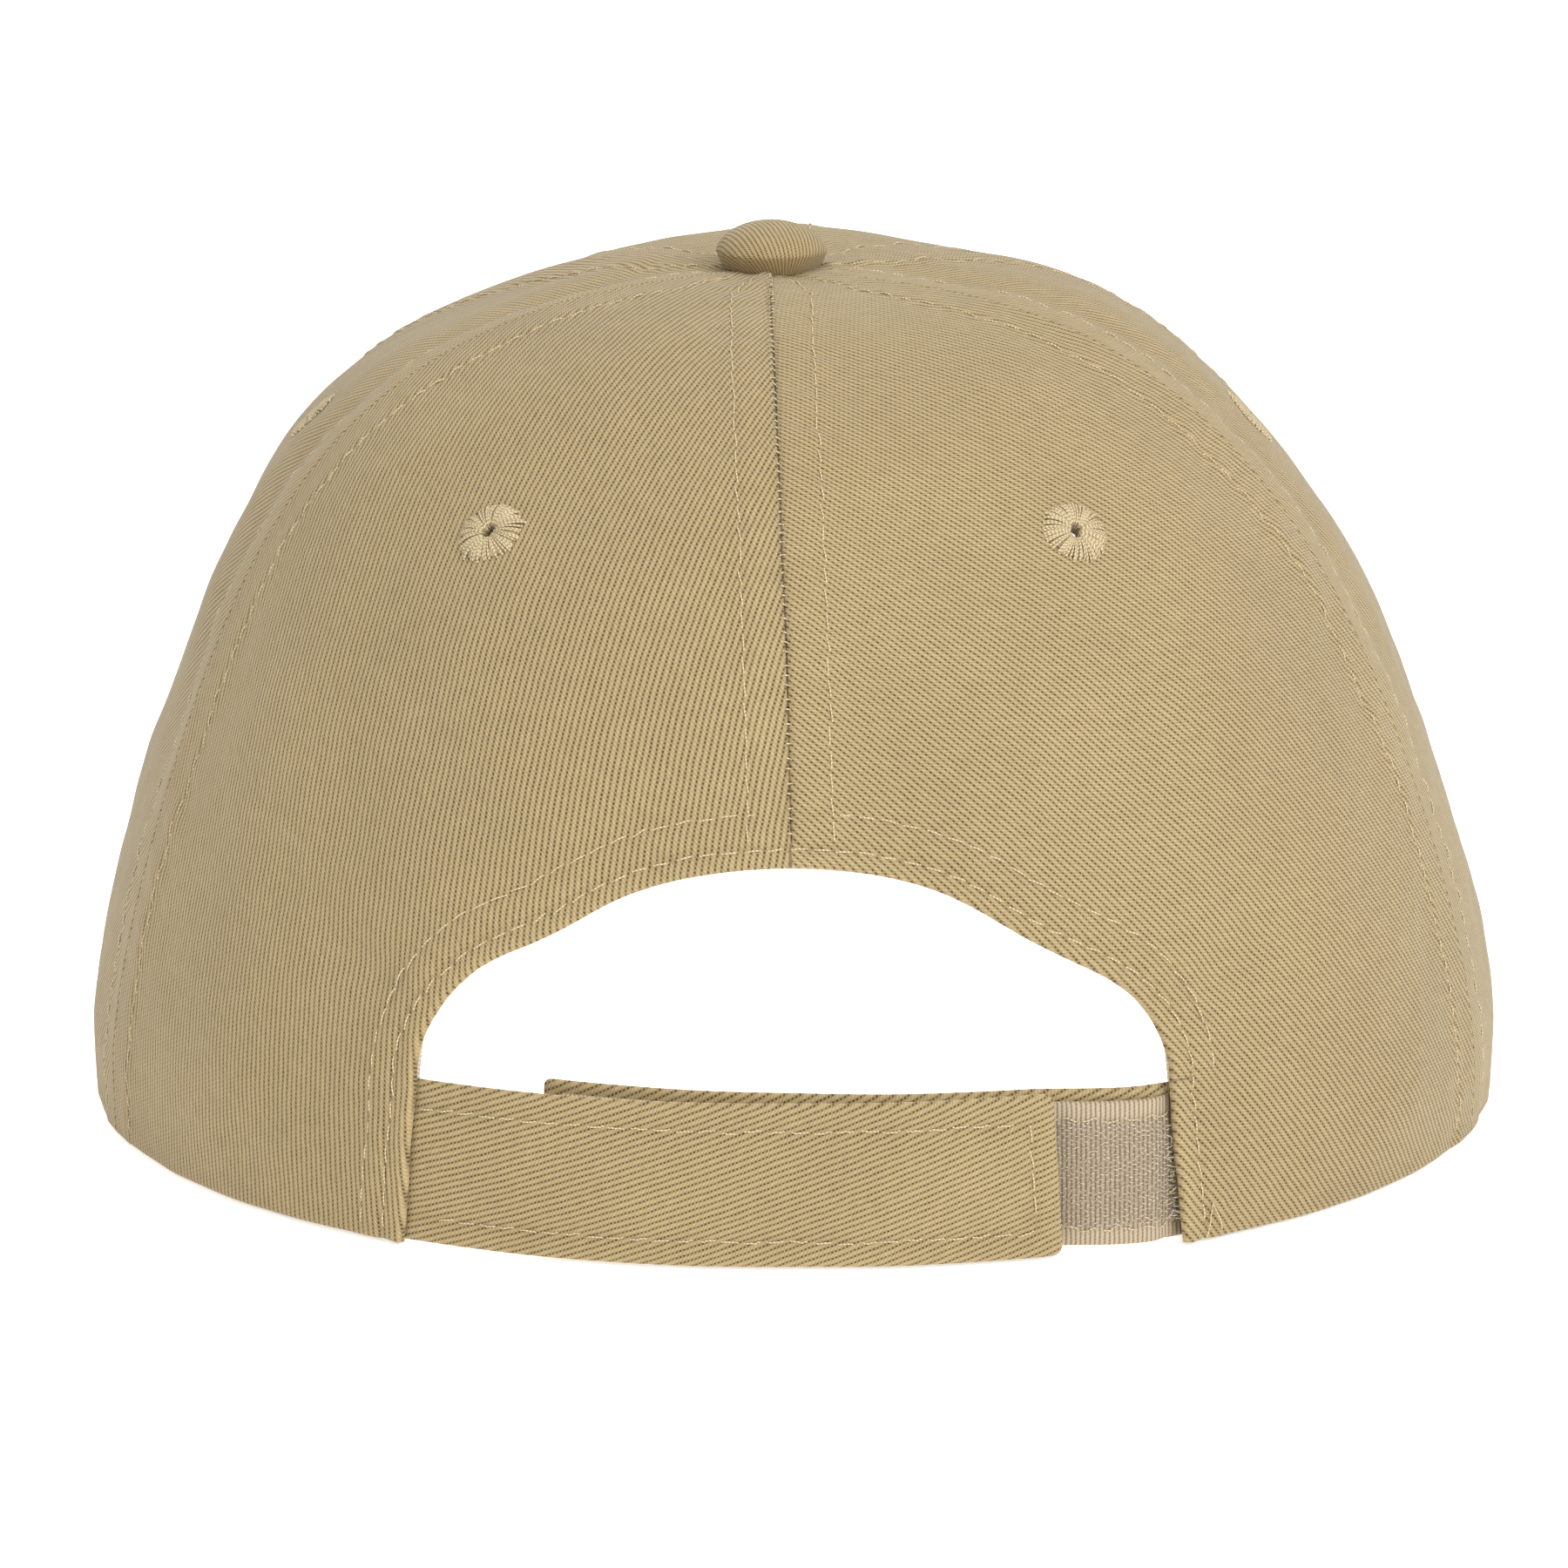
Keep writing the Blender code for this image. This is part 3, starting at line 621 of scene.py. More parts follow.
def thread_paint(name, dark, light):
    """Twisted two-ply thread; the cloth attribute runs along it and round it."""
    paint = Paint(name, roughness=0.55, sheen=0.1, specular=0.4)
    along, around, _ = paint.split(paint.cloth())
    twist = ((along * 2200.0 + around) * 6.2832).op("SINE") * 0.5 + 0.5
    fine = paint.noise(paint.object_place(), 2500.0, 2.0)
    level = twist * 0.6 + fine * 0.4
    tone = paint.tone()
    colour = paint.ramp(level.clipped(), [(0.1, dark), (0.8, light)])
    darker, lighter = (1.0 + tone * 0.22).clipped(), tone.op("MAXIMUM", 0.0) * 0.22
    return paint.finish(paint.scaled(colour, darker + lighter), twist, 0.00005)


def plain_weave_paint(name, dark, light, pitch, relief=0.00008, openness=0.0):
    """Over-and-under weave with a pitch in metres."""
    paint = Paint(name, roughness=0.85, sheen=0.1, specular=0.3)
    cloth = paint.cloth()
    u, v, _ = paint.split(cloth)
    sway = paint.noise(cloth, 350.0, 1.0) - 0.5
    u = u + sway * pitch * 0.5
    s, t = u * (math.pi / pitch), v * (math.pi / pitch)
    warp = s.op("SINE").op("ABSOLUTE") * ((t.op("SINE") * s.op("COSINE").op("SIGN")) * 0.35 + 0.65)
    weft = t.op("SINE").op("ABSOLUTE") * ((s.op("SINE") * t.op("COSINE").op("SIGN")) * -0.35 + 0.65)
    relief_map = warp.op("MAXIMUM", weft) - openness
    fuzz = paint.noise(cloth, 3800.0, 2.0, 0.7)
    relief_map = relief_map + (fuzz - 0.5) * 0.25
    wash = paint.noise(paint.object_place(), 60.0, 3.0)
    tone = paint.tone()
    colour = paint.ramp(relief_map.clipped(), [(0.15, dark), (0.75, light)])
    level = 1.0 + (wash - 0.5) * 0.10 + tone * 0.16
    return paint.finish(paint.scaled(colour, level), relief_map, relief)


def hook_paint(name):
    """Clear plastic monofilament."""
    paint = Paint(name, roughness=0.22, specular=0.5)
    fine = paint.noise(paint.object_place(), 900.0, 1.0)
    return paint.finish(paint.ramp(fine, [(0.2, (190, 176, 152)), (0.8, (232, 222, 204))]), fine, 0.00002)


def rib_paint(name, dark, light, pitch):
    """Woven tape whose ribs run across it; cloth is (along, across)."""
    paint = Paint(name, roughness=0.7, sheen=0.08, specular=0.35)
    cloth = paint.cloth()
    u, v, _ = paint.split(cloth)
    sway = paint.noise(cloth, 700.0, 1.0) - 0.5
    rib = ((u + sway * 0.0001) * (math.pi / pitch)).op("SINE").op("ABSOLUTE")
    fine = (v * (math.pi / 0.00022) + (u * (math.pi / pitch)).op("FLOOR")).op("SINE") * 0.5 + 0.5
    fuzz = paint.noise(cloth, 3500.0, 2.0, 0.7)
    relief_map = rib * 0.7 + fine * 0.15 + (fuzz - 0.5) * 0.3
    tone = paint.tone()
    colour = paint.ramp(relief_map.clipped(), [(0.1, dark), (0.7, light)])
    return paint.finish(paint.scaled(colour, 1.0 + tone * 0.2), relief_map, 0.00008)


def metal_paint(name):
    """Pressed aluminium with fine turned scratches."""
    paint = Paint(name, metallic=1.0, roughness=0.35)
    place = paint.object_place()
    scratch = paint.noise(place, 1800.0, 3.0)
    stain = paint.noise(place, 260.0, 2.0)
    rough = stain * 0.25 + 0.22
    colour = paint.ramp(scratch, [(0.2, (178, 178, 176)), (0.8, (214, 214, 212))])
    return paint.finish(colour, scratch, 0.00003, rough)


def grainy_paint(name, dark, light, scale, relief, roughness):
    """Foam or moulded board."""
    paint = Paint(name, roughness=roughness, specular=0.3)
    grain = paint.noise(paint.object_place(), scale, 4.0, 0.6)
    return paint.finish(paint.ramp(grain, [(0.3, dark), (0.7, light)]), grain, relief)


TWILL = twill_paint("khaki_twill", (121, 103, 69), (158, 139, 100), (187, 166, 124))
THREAD = thread_paint("khaki_thread", (170, 148, 108), (232, 214, 176))
EYELET_THREAD = thread_paint("eyelet_thread", (158, 138, 99), (222, 204, 165))
BUCKRAM_LOOK = plain_weave_paint(
    "buckram_weave", (196, 190, 176), (246, 243, 234), 0.0011, relief=0.00016, openness=0.1)
TAPE_LOOK = plain_weave_paint("seam_tape_weave", (204, 198, 184), (244, 240, 228), 0.00045)
BAND_LOOK = plain_weave_paint("sweatband_weave", (206, 198, 180), (242, 236, 222), 0.00050)
BOARD_LOOK = grainy_paint("board_plastic", (206, 206, 202), (232, 232, 228), 900.0, 0.00005, 0.5)
HOOK_BASE = rib_paint("hook_tape_weave", (122, 105, 82), (186, 169, 143), 0.00053)
LOOP_BASE = grainy_paint("loop_pile", (126, 111, 86), (182, 165, 138), 3200.0, 0.0004, 0.9)
HOOKS = hook_paint("hook_monofilament")
METAL = metal_paint("aluminium")

# ------------------------------------------------------------------ crown panels

BAND = 0.008  # the finely divided strip beside each seam
BAND_COLUMNS = 18
FOLD = 0.00009  # radius of a side seam's folded edge
CENTRE_FOLD = 0.00034  # the same at the centre seams
LADDER = 0.00145  # from one thread showing in the centre seam to the next
VALLEY = {1: 0.0008, -1: 0.0006}  # depth of the side panels' soft valley beside the back seam
# How the side panels sag: share of their height, spread, depth.
SAG = {1: (0.76, 0.16, 0.0012), -1: (0.60, 0.07, 0.0011)}
# Slumps and swells of the crown's top: place on the plan, size, depth.
SLUMPS = (
    ((0.036, -0.020), (0.015, 0.034), 0.0016),
    ((-0.004, -0.024), (0.013, 0.022), -0.0009),
    ((-0.041, 0.000), (0.013, 0.034), -0.0008),
)
# Soft dents in the back panels: (x, z), half sizes, turn in degrees, depth.
DENTS = {
    1: (((0.0505, 0.0320), (0.0080, 0.0032), 35.0, 0.0007),
        ((0.0420, 0.0570), (0.0160, 0.0045), 60.0, 0.0003)),
    -1: (((0.0520, 0.0320), (0.0080, 0.0032), 35.0, 0.0007),
         ((0.0400, 0.0600), (0.0160, 0.0045), 55.0, 0.0003)),
}
RAISED = 0.00028  # height of the cloth over a seam allowance
TOPSTITCH = {"centre": 0.0050, "side": 0.0062}  # from the seam to the row beside it
STITCH = 0.0029  # pitch
ARCH_ROWS = (0.0022, 0.0064)  # from the opening's edge to its two rows
ROW_FOOT = 0.0012  # stitched rows start this far over the hem
PANEL_SETBACK = 0.0011  # the panels stop this far from the opening, under its rolled fold
WAVE_FINE, WAVE_SLOW = 0.00007, 0.00030  # unevenness of the cloth

# Direction of the wale in each panel, counted from the viewer's right, outside the panel.
WALES = {
    ("back", 1): 93.0, ("back", -1): 130.0,
    ("side", 1): 48.0, ("side", -1): 112.0,
    ("front", 1): 122.0, ("front", -1): 60.0,
}


def arch_line(step=0.00035):
    """The opening's edge on the outer surface, from the foot at +X to the foot at -X."""
    angles = np.linspace(0, math.pi, 361)
    xs = ARCH_HALF_WIDTH * np.sign(np.cos(angles)) * np.abs(np.cos(angles)) ** (2 / ARCH_POWER)
    zs = ARCH_SPRING + (ARCH_TOP - ARCH_SPRING) * np.sin(angles) ** (2 / ARCH_POWER)
    for sign, (middle, spread, drop) in SHOULDERS.items():
        zs = zs - drop * bump(xs * sign - middle, spread)
    zs[[0, -1]] = ARCH_SPRING
    flat = stacked(xs, zs)
    foot = np.linspace(0, 1, 40)[:, None]
    left = np.array([ARCH_FOOT_HALF_WIDTH, 0.0]) * (1 - foot) + flat[0] * foot
    right = left[::-1] * [-1, 1]
    flat = along_line(np.concatenate([left[:-1], flat, right[1:]]), step)
    return point(*locate(flat[:, 0], flat[:, 1]))


ARCH = arch_line()
ARCH_AZIMUTH, ARCH_CLIMB = locate(ARCH[:, 0], ARCH[:, 2])
ARCH_NORMAL = normal(ARCH_AZIMUTH, ARCH_CLIMB)
ARCH_AWAY = unit(np.cross(ARCH_NORMAL, unit(np.gradient(ARCH, axis=0))))
if ARCH_AWAY[len(ARCH) // 2, 2] < 0:
    ARCH_AWAY = -ARCH_AWAY


def arch_distance(points):
    """Distance of surface points from the opening's edge; negative inside the opening."""
    flat = points.reshape(-1, 3)
    near = np.full(len(flat), 1.0)
    close = (flat[:, 2] < 0.075) & (np.abs(flat[:, 0]) < 0.075) & (flat[:, 1] > 0)
    coarse = ARCH[::2]
    found = np.linalg.norm(flat[close][:, None] - coarse[None], axis=2)
    best = found.argmin(axis=1)
    offset = flat[close] - coarse[best]
    sign = np.sign((offset * ARCH_AWAY[::2][best]).sum(axis=1))
    near[close] = found.min(axis=1) * np.where(sign == 0, 1, sign)
    return near.reshape(points.shape[:-1])


def fold_profile(distance, radius):
    """How the cloth rounds off into a fold at distance 0."""
    inside = np.clip(radius - distance, 0, radius)
    return -radius + np.sqrt(np.maximum(radius**2 - inside**2, 0))


def seam_relief(distance, near_band, run, offset, seed, fold_radius, over):
    """Height of the cloth near a seam: folded edge, raised allowance, stitched furrow."""
    place = distance * BAND / near_band  # the band narrows towards the button
    fold = fold_profile(distance, fold_radius)
    beads = 0.00006 * np.cos(run * (2 * np.pi / LADDER) + seed) * (fold_radius > FOLD)
    fold = fold + (over + beads) * bump(distance, 0.0011)
    raised = RAISED * (1 - smooth(place, offset - 0.0002, offset + 0.0016))
    lean = 1 + 0.35 * ripple(run, 0.012, seed)
    furrow = -0.00020 * bump(place - offset, 0.0005) * lean
    pucker = 0.00012 * ripple(run + place * 0.3, 0.0055, seed + 1) * bump(place - offset, 0.0034)
    return fold + raised + furrow + pucker


def gore_frame(which):
    """What a panel's cloth is measured on: shares across it with the climbs of its hem and
    top there, and shares up its middle line with the lengths along it."""
    first, last = GORES[which]
    s = np.linspace(0, 1, 81)
    between = seam(first, 0) + s * (seam(last, 0) - seam(first, 0))
    start, stop = hem_climb(between), climb_where(between, closeness, -APEX_RADIUS)
    fine = np.linspace(0, 1, 500)
    climbs = start[40] + (stop[40] - start[40]) * fine
    meridian = point((seam(first, climbs) + seam(last, climbs)) / 2, climbs)
    return s, start, stop, fine, lengths(meridian)


def unrolled(which, side, azimuth, climb):
    """Cloth places u (across, from the middle) and v (up from the hem) of a panel's points."""
    first, last = GORES[which]
    s, start, stop, fine, v = gore_frame(which)
    across = (azimuth * side - seam(first, climb)) / (seam(last, climb) - seam(first, climb))
    low, high = np.interp(across, s, start), np.interp(across, s, stop)
    share = (climb - low) / (high - low)
    steps = 0.5 + (across[..., None] - 0.5) * np.linspace(0, 1, 15)
    share = share[..., None]
    climbs = np.interp(steps, s, start) * (1 - share) + np.interp(steps, s, stop) * share
    path = point(seam(first, climbs) * (1 - steps) + seam(last, climbs) * steps, climbs)
    arc = np.linalg.norm(np.diff(path, axis=-2), axis=-1).sum(axis=-1)
    return -side * np.sign(across - 0.5) * arc, np.interp(share[..., 0], fine, v)


def panel_seed(which, side):
    return {"back": 10, "side": 30, "front": 50}[which] + (0 if side > 0 else 5)


def undulation(which, side, u, v):
    """The gentle unevenness of a panel's cloth."""
    seed = panel_seed(which, side)
    slow = WAVE_SLOW * waves(u, v, 0.034, seed + 7) * smooth(v, 0, 0.012)
    return slow + WAVE_FINE * waves(u, v, 0.010, seed + 8)


def gore_grid(which, side, step=0.0006, middle_step=0.0009):
    """Azimuths and climbs of a panel's points, with their distances along and across it."""
    first, last = GORES[which]
    s, start, stop, fine, v = gore_frame(which)
    hem_rows = [0, 0.0001, 0.00025, 0.00045, 0.0007, 0.001]
    rows = np.concatenate([hem_rows, np.arange(0.0015, v[-1], step), [v[-1]]])
    share = np.interp(rows, v, fine)[:, None]
    climbs = start + (stop - start) * share
    azimuths = seam(first, climbs) * (1 - s) + seam(last, climbs) * s
    run = lengths(point(azimuths, climbs), axis=1)
    width = run[:, -1:]
    band = np.minimum(BAND, 0.42 * width)
    near = np.linspace(0, 1, BAND_COLUMNS + 1)
    near[1] *= 0.6
    count = int((width.max() - 2 * BAND) / middle_step)
    middle = np.linspace(0, 1, count + 1)[1:-1]
    middle = band + (width - 2 * band) * middle
    places = np.concatenate([band * near, middle, width - band * near[::-1]], axis=1)
    across = np.stack([np.interp(p, r, s) for p, r in zip(places, run)])
    climbs = np.interp(across, s, start) * (1 - share) + np.interp(across, s, stop) * share
    azimuths = seam(first, climbs) * (1 - across) + seam(last, climbs) * across
    centre = np.array([np.interp(0.5, s, r) for r in run])[:, None]
    return {
        "azimuth": azimuths * side, "climb": climbs, "first": places, "last": width - places,
        "band": band, "u": (centre - places) * side, "v": rows[:, None] + 0 * places,
    }


def wale_place(u, v, degrees, pitch_ratio=1.0):
    """Cloth coordinates along and across the wale."""
    angle = math.radians(degrees)
    along = u * math.cos(angle) + v * math.sin(angle)
    across = v * math.cos(angle) - u * math.sin(angle)
    return stacked(along * pitch_ratio, across * pitch_ratio, 0.0)


def seam_offset(which, edge):
    """From a panel's seam to the stitches beside it."""
    return TOPSTITCH["centre" if (which, edge) in (("back", "first"), ("front", "last")) else "side"]


def slump(places):
    """How far the top's cloth, and what is sewn behind it, stands over the plain surface."""
    found = 0.0
    for (sx, sy), (wide, deep), depth in SLUMPS:
        a, b = (places[..., 0] - sx) / wide, (places[..., 1] - sy) / deep
        found = found - depth * np.exp(-(a**2) - b**2)
    return found * smooth(places[..., 2], 0.070, 0.085)


def panel_relief(which, side, grid, base):
    """Height of each point of a panel over the plain surface, and its tone, which holds painted shade and
    painted light.
    """
    seed = panel_seed(which, side)
    relief, tone = np.zeros(grid["first"].shape), np.zeros(grid["first"].shape)
    for k, edge in enumerate(("first", "last")):
        offset, distance = seam_offset(which, edge), grid[edge]
        centre = offset == TOPSTITCH["centre"]
        over = 0.00010 * side if centre else 0.00006
        radius = CENTRE_FOLD if centre else FOLD
        relief += seam_relief(
            distance, grid["band"], grid["v"], offset, seed + 3 * k, radius, over)
        # painted shade in the centre seam's crease
        tone -= (0.9 if centre else 0.0) * bump(distance, 0.0004)
        place = distance * BAND / grid["band"] - offset
        # painted shade in the stitched furrow, and a painted highlight on the raised allowance beside it
        tone -= 0.12 * bump(place, 0.0005)
        tone += 0.12 * smooth(place, -0.0042, -0.0030) * smooth(-place, 0.0008, 0.0016)
    calm = 1.0
    for edge in ("first", "last"):
        if seam_offset(which, edge) == TOPSTITCH["side"]:
            calm = calm * smooth(grid[edge], 0.0002, 0.0045)
    relief += fold_profile(grid["v"], 0.0006)
    relief = relief + calm * undulation(which, side, grid["u"], grid["v"]) + slump(base)
    up = grid["v"] / grid["v"].max()
    if which == "side":
        # the allowance pulls a soft valley beside the back seam
        window = smooth(up, 0.18, 0.45) * (1 - smooth(up, 0.86, 0.99))
        spread, off = 0.0085 * (grid["band"] / BAND), grid["first"]
        relief -= VALLEY[side] * window * bump(off - 1.05 * spread, 0.42 * spread)
        relief += 0.5 * VALLEY[side] * window * bump(off - 2.1 * spread, 0.6 * spread)
        # painted light: two lighter bands beside the back seam, on the valley's slopes
        tone += 0.35 * window * bump(off - 0.2 * spread, 0.28 * spread)
        tone += 0.30 * window * bump(off - 1.5 * spread, 0.16 * spread)
        middle, spread_up, depth = SAG[side]
        share = grid["first"] / (grid["first"] + grid["last"])
        inner_share = smooth(share, 0, 0.3) * smooth(1 - share, 0, 0.3)
        relief -= depth * inner_share * bump(up - middle, spread_up)
    if which == "back":
        x, z = base[..., 0] * side, base[..., 2]
        # painted shade: a little darker towards the hem, which curves in away from the light
        tone -= (0.22 if side > 0 else 0.42) * (1 - smooth(z, 0.0, 0.036))
        for (dx, dz), (long, wide), turn, depth in DENTS[side]:
            turn = math.radians(turn)
            a = (x - dx) * math.cos(turn) + (z - dz) * math.sin(turn)
            b = (z - dz) * math.cos(turn) - (x - dx) * math.sin(turn)
            relief -= depth * np.exp(-((a / long) ** 2) - (b / wide) ** 2)
        away = arch_distance(base)
        relief += 0.00028 * (1 - smooth(away, ARCH_ROWS[1] - 0.0002, ARCH_ROWS[1] + 0.0015))
        relief -= 0.00022 * bump(away - ARCH_ROWS[1], 0.0005)
        relief -= 0.00050 * (1 - smooth(away, 0.0024, 0.0035))
        # painted shade in the second row's furrow and the first row's needle holes
        tone -= 0.22 * bump(away - ARCH_ROWS[1], 0.0005)
        tone -= 0.3 * bump(away - ARCH_ROWS[0], 0.0006)
    return relief, tone


PANELS = {}  # the finished panels, for what is laid on them


def make_panel(which, side, word):
    """One panel, cut round its eyelet's hole and the opening."""
    grid = gore_grid(which, side)
    base = point(grid["azimuth"], grid["climb"])
    facing = normal(grid["azimuth"], grid["climb"])
    relief, tone = panel_relief(which, side, grid, base)
    outer = base + facing * relief[..., None]
    inside_share = 0.6  # of the relief, that shows on the inside too
    inner = base + facing * (relief * inside_share - PANEL_DEPTH)[..., None]
    hem = base[0, :, 2]
    outer[..., 2] = np.maximum(outer[..., 2], hem)
    inner[..., 2] = np.maximum(inner[..., 2], hem)
    faces = turned(grid_faces(*base.shape[:2]), side > 0)
    flat = base.reshape(-1, 3)
    azimuth, climb = EYELETS[which]
    keep = np.linalg.norm(flat - point(azimuth * side, climb), axis=1) > PANEL_HOLE
    if which == "back":
        keep &= arch_distance(flat) > PANEL_SETBACK
    faces = faces[keep[faces].all(axis=1)]
    cloth = wale_place(grid["u"], grid["v"], WALES[which, side])
    name = f"{which}_panel_cloth_{word}"
    made = build(name, *shell(outer, inner, faces), TWILL, "crown", "khaki_twill", cloth, tone)
    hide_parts(f"{which}_panel_{word}")
    area = quad_area(flat, faces)
    PANELS[which, side] = {**grid, "outer": outer, "facing": facing}


def seam_line(which, side, edge, offset):
    """The stitch line beside one of a panel's seams, on the finished cloth."""
    panel = PANELS[which, side]
    wanted = offset * panel["band"][:, 0] / BAND
    line, facing = [], []
    order = slice(None) if edge == "first" else slice(None, None, -1)
    for row, target in enumerate(wanted):
        place = panel[edge][row][order]
        for key, found in (("outer", line), ("facing", facing)):
            found.append([np.interp(target, place, panel[key][row, order, k]) for k in range(3)])
    line, facing = np.array(line), unit(np.array(facing))
    keep = np.hypot(line[:, 0], line[:, 1]) > BUTTON_RADIUS - 0.0005
    keep &= panel["v"][:, 0] > ROW_FOOT
    if which == "back":
        keep &= arch_distance(line) > ARCH_ROWS[0] + 0.0006
    return line[keep], facing[keep]


def seam_ladder(one, two, pitch, seed):
    """Thread that shows as it crosses a seam between two panel edges."""
    start, facing = seam_line(*one, 0.00034)
    other = seam_line(*two, 0.00030)[0]
    run = lengths(start)
    rng = np.random.default_rng(seed)
    places = np.arange(0.5 * pitch, run[-1], pitch)
    places = places + rng.normal(0, 0.07 * pitch, len(places))
    pick = np.searchsorted(run, places).clip(0, len(run) - 1)
    start, facing = start[pick], facing[pick]
    other = other[np.linalg.norm(other[None] - start[:, None], axis=2).argmin(axis=1)]
    t = np.linspace(-0.12, 1.12, 7)[None, :, None]
    slip = rng.normal(0, 0.00010, (len(pick), 1, 1)) * (t - 0.5)
    along = unit(np.gradient(start, axis=0))[:, None]
    lift = 0.00016 * np.sin(np.pi * np.clip(t, 0, 1)) - 0.00012 * (np.abs(t - 0.5) > 0.55)
    centre = start[:, None] * (1 - t) + other[:, None] * t + facing[:, None] * lift + along * slip
    return tubes(centre, np.broadcast_to(facing[:, None], centre.shape), 0.00009)


def make_crown():
    """The six panels and the stitches beside and across their seams."""
    parts = []
    for side, word in SIDES:
        for which in GORES:
            make_panel(which, side, word)
            for edge in ("first", "last"):
                offset = seam_offset(which, edge)
                line, facing = seam_line(which, side, edge, offset)
                sink = 0.00020 if offset == TOPSTITCH["centre"] else 0.00026
                parts.append(stitch_tubes(line, facing, STITCH, 100 + len(parts), sink=sink))
    parts.append(seam_ladder(("back", 1, "first"), ("back", -1, "first"), LADDER, 138))
    parts.append(seam_ladder(("front", 1, "last"), ("front", -1, "last"), LADDER, 139))
    build_stitches("seam_topstitching", parts)


# ------------------------------------------------------------------ the opening's edge


def arch_offset(distance):
    """Places of the plain surface at a distance from the opening's edge."""
    moved = ARCH + ARCH_AWAY * np.asarray(distance)[..., None]
    moved[:, 2] = np.maximum(moved[:, 2], 0.0)
    return locate(moved[:, 0], moved[:, 2])


def back_cloth(azimuth, climb):
    """Cloth coordinates and undulation of places on either back panel."""
    found = {}
    for side in (1, -1):
        u, v = unrolled("back", side, azimuth, climb)
        found[side] = wale_place(u, v, WALES["back", side]), undulation("back", side, u, v)
    share = smooth(azimuth, -2.0, 2.0)
    cloth = np.where((azimuth > 0)[..., None], found[1][0], found[-1][0])
    return cloth, found[1][1] * share + found[-1][1] * (1 - share)


def arch_row(number):
    """Distance of a stitched row from the opening's edge, all along it."""
    change = (0.0006, -0.0004)[number]
    return ARCH_ROWS[number] + change * (1 - smooth(ARCH[:, 2], 0.022, 0.034))


def make_opening_edge():
    """The rolled fold round the opening, with the strip that it turns inside."""
    run = lengths(ARCH)
    above = smooth(ARCH[:, 2], 0.0206, 0.0226)
    radius, lifted, thickness, pitch = 0.00078, 0.00026, 0.00034, 0.0027
    # section of the fold as (distance from the edge, height): its leg on the panel, then the roll
    leg = [(0.0034, -0.00032), (0.0031, 0.0), (0.0028, 0.00009), (0.0025, 0.00011), (0.0022, 0.00013),
           (0.0019, 0.00017), (0.0015, 0.00022), (0.0011, 0.00026), (radius, lifted)]
    turn = np.radians(np.linspace(75, -90, 9))
    roll = np.stack([radius - radius * np.cos(turn), lifted - radius + radius * np.sin(turn)], axis=1)
    sections = [(np.full(len(ARCH), d), np.full(len(ARCH), h)) for d, h in np.concatenate([leg, roll])]
    turned_in = 0.0088 * above + 0.0010 * (1 - above)
    for t in np.linspace(0, 1, 9)[1:]:
        level = lifted - 2 * radius - 0.00012 * above * smooth(t, 0, 0.3)
        sections.append((radius + (turned_in - radius) * t, level))
    profile = np.stack([np.stack(pair, axis=1) for pair in sections])  # its last axis is (d, h)
    slope = np.gradient(profile, axis=0)
    away = stacked(-slope[..., 1], slope[..., 0])
    away /= np.maximum(np.linalg.norm(away, axis=-1, keepdims=True), 1e-9)
    wobble = 0.00007 * ripple(run, 0.009, 71) + 0.00004 * ripple(run, 0.0031, 72)
    row_places = point(*arch_offset(arch_row(0)))
    row_run = lengths(row_places)
    row_run = row_run - row_run[np.argmax(row_places[:, 2] > ROW_FOOT)]
    needle = bump((row_run + pitch / 2) % pitch - pitch / 2, 0.00030)
    outer, inner, cloth, tone = [], [], [], []
    for k in range(len(sections)):
        d, h = profile[k].T
        azimuth, climb = arch_offset(d)
        spread, wave = back_cloth(azimuth, climb)
        rough = wobble * (d < 0.002) + wave
        outer.append(point(azimuth, climb) + normal(azimuth, climb) * (h + rough)[:, None])
        back_d, back_h = (profile[k] + away[k] * thickness).T
        azimuth, climb = arch_offset(back_d)
        inner.append(point(azimuth, climb) + normal(azimuth, climb) * (back_h + rough)[:, None])
        cloth.append(spread)
        # painted shade in the first row's needle holes, and a painted highlight along the roll
        hole = -2.0 * needle * bump(d - arch_row(0), 0.00032) * (k < len(leg))
        tone.append(hole + (0.15 if len(leg) - 4 < k < len(leg) + 5 else 0))
    outer, inner, cloth, tone = (np.stack(x, axis=1) for x in (outer, inner, cloth, tone))
    for layer_points in (outer, inner):
        layer_points[..., 2] = np.maximum(layer_points[..., 2], 0.0)
    solid = shell(outer, inner, grid_faces(len(ARCH), len(sections)))
    made = build("opening_edge_cloth", *solid, TWILL, "crown", "khaki_twill", cloth, tone)
    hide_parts("opening_binding")
    parts = []
    for k, level in enumerate((0.00010, 0.00006)):
        azimuth, climb = arch_offset(arch_row(k))
        line, facing = point(azimuth, climb), normal(azimuth, climb)
        line = line + facing * (level + back_cloth(azimuth, climb)[1])[:, None]
        # on the right the second row sinks out of sight beside the strap
        keep = line[:, 2] > np.where((line[:, 0] < 0) & (k == 1), 0.0200, ROW_FOOT)
        parts.append(stitch_tubes(line[keep], facing[keep], pitch, 300 + k))
    # loose ends of thread at the foot on the right
    knot_x, knot_z = -0.0496, 0.0046
    for (x_end, z_end), bow in (((-0.0489, 0.0004), 0.0003), ((-0.0507, 0.0012), 0.0007)):
        t = np.linspace(0, 1, 12)
        azimuth, climb = locate(knot_x + (x_end - knot_x) * t, knot_z + (z_end - knot_z) * t)
        facing = normal(azimuth, climb)
        line = point(azimuth, climb) + facing * (0.00045 + bow * np.sin(np.pi * t) * t)[:, None]
        parts.append(tubes(line[None], facing[None], 0.00008))
    build_stitches("opening_stitching", parts)


# ------------------------------------------------------------------ eyelets and button


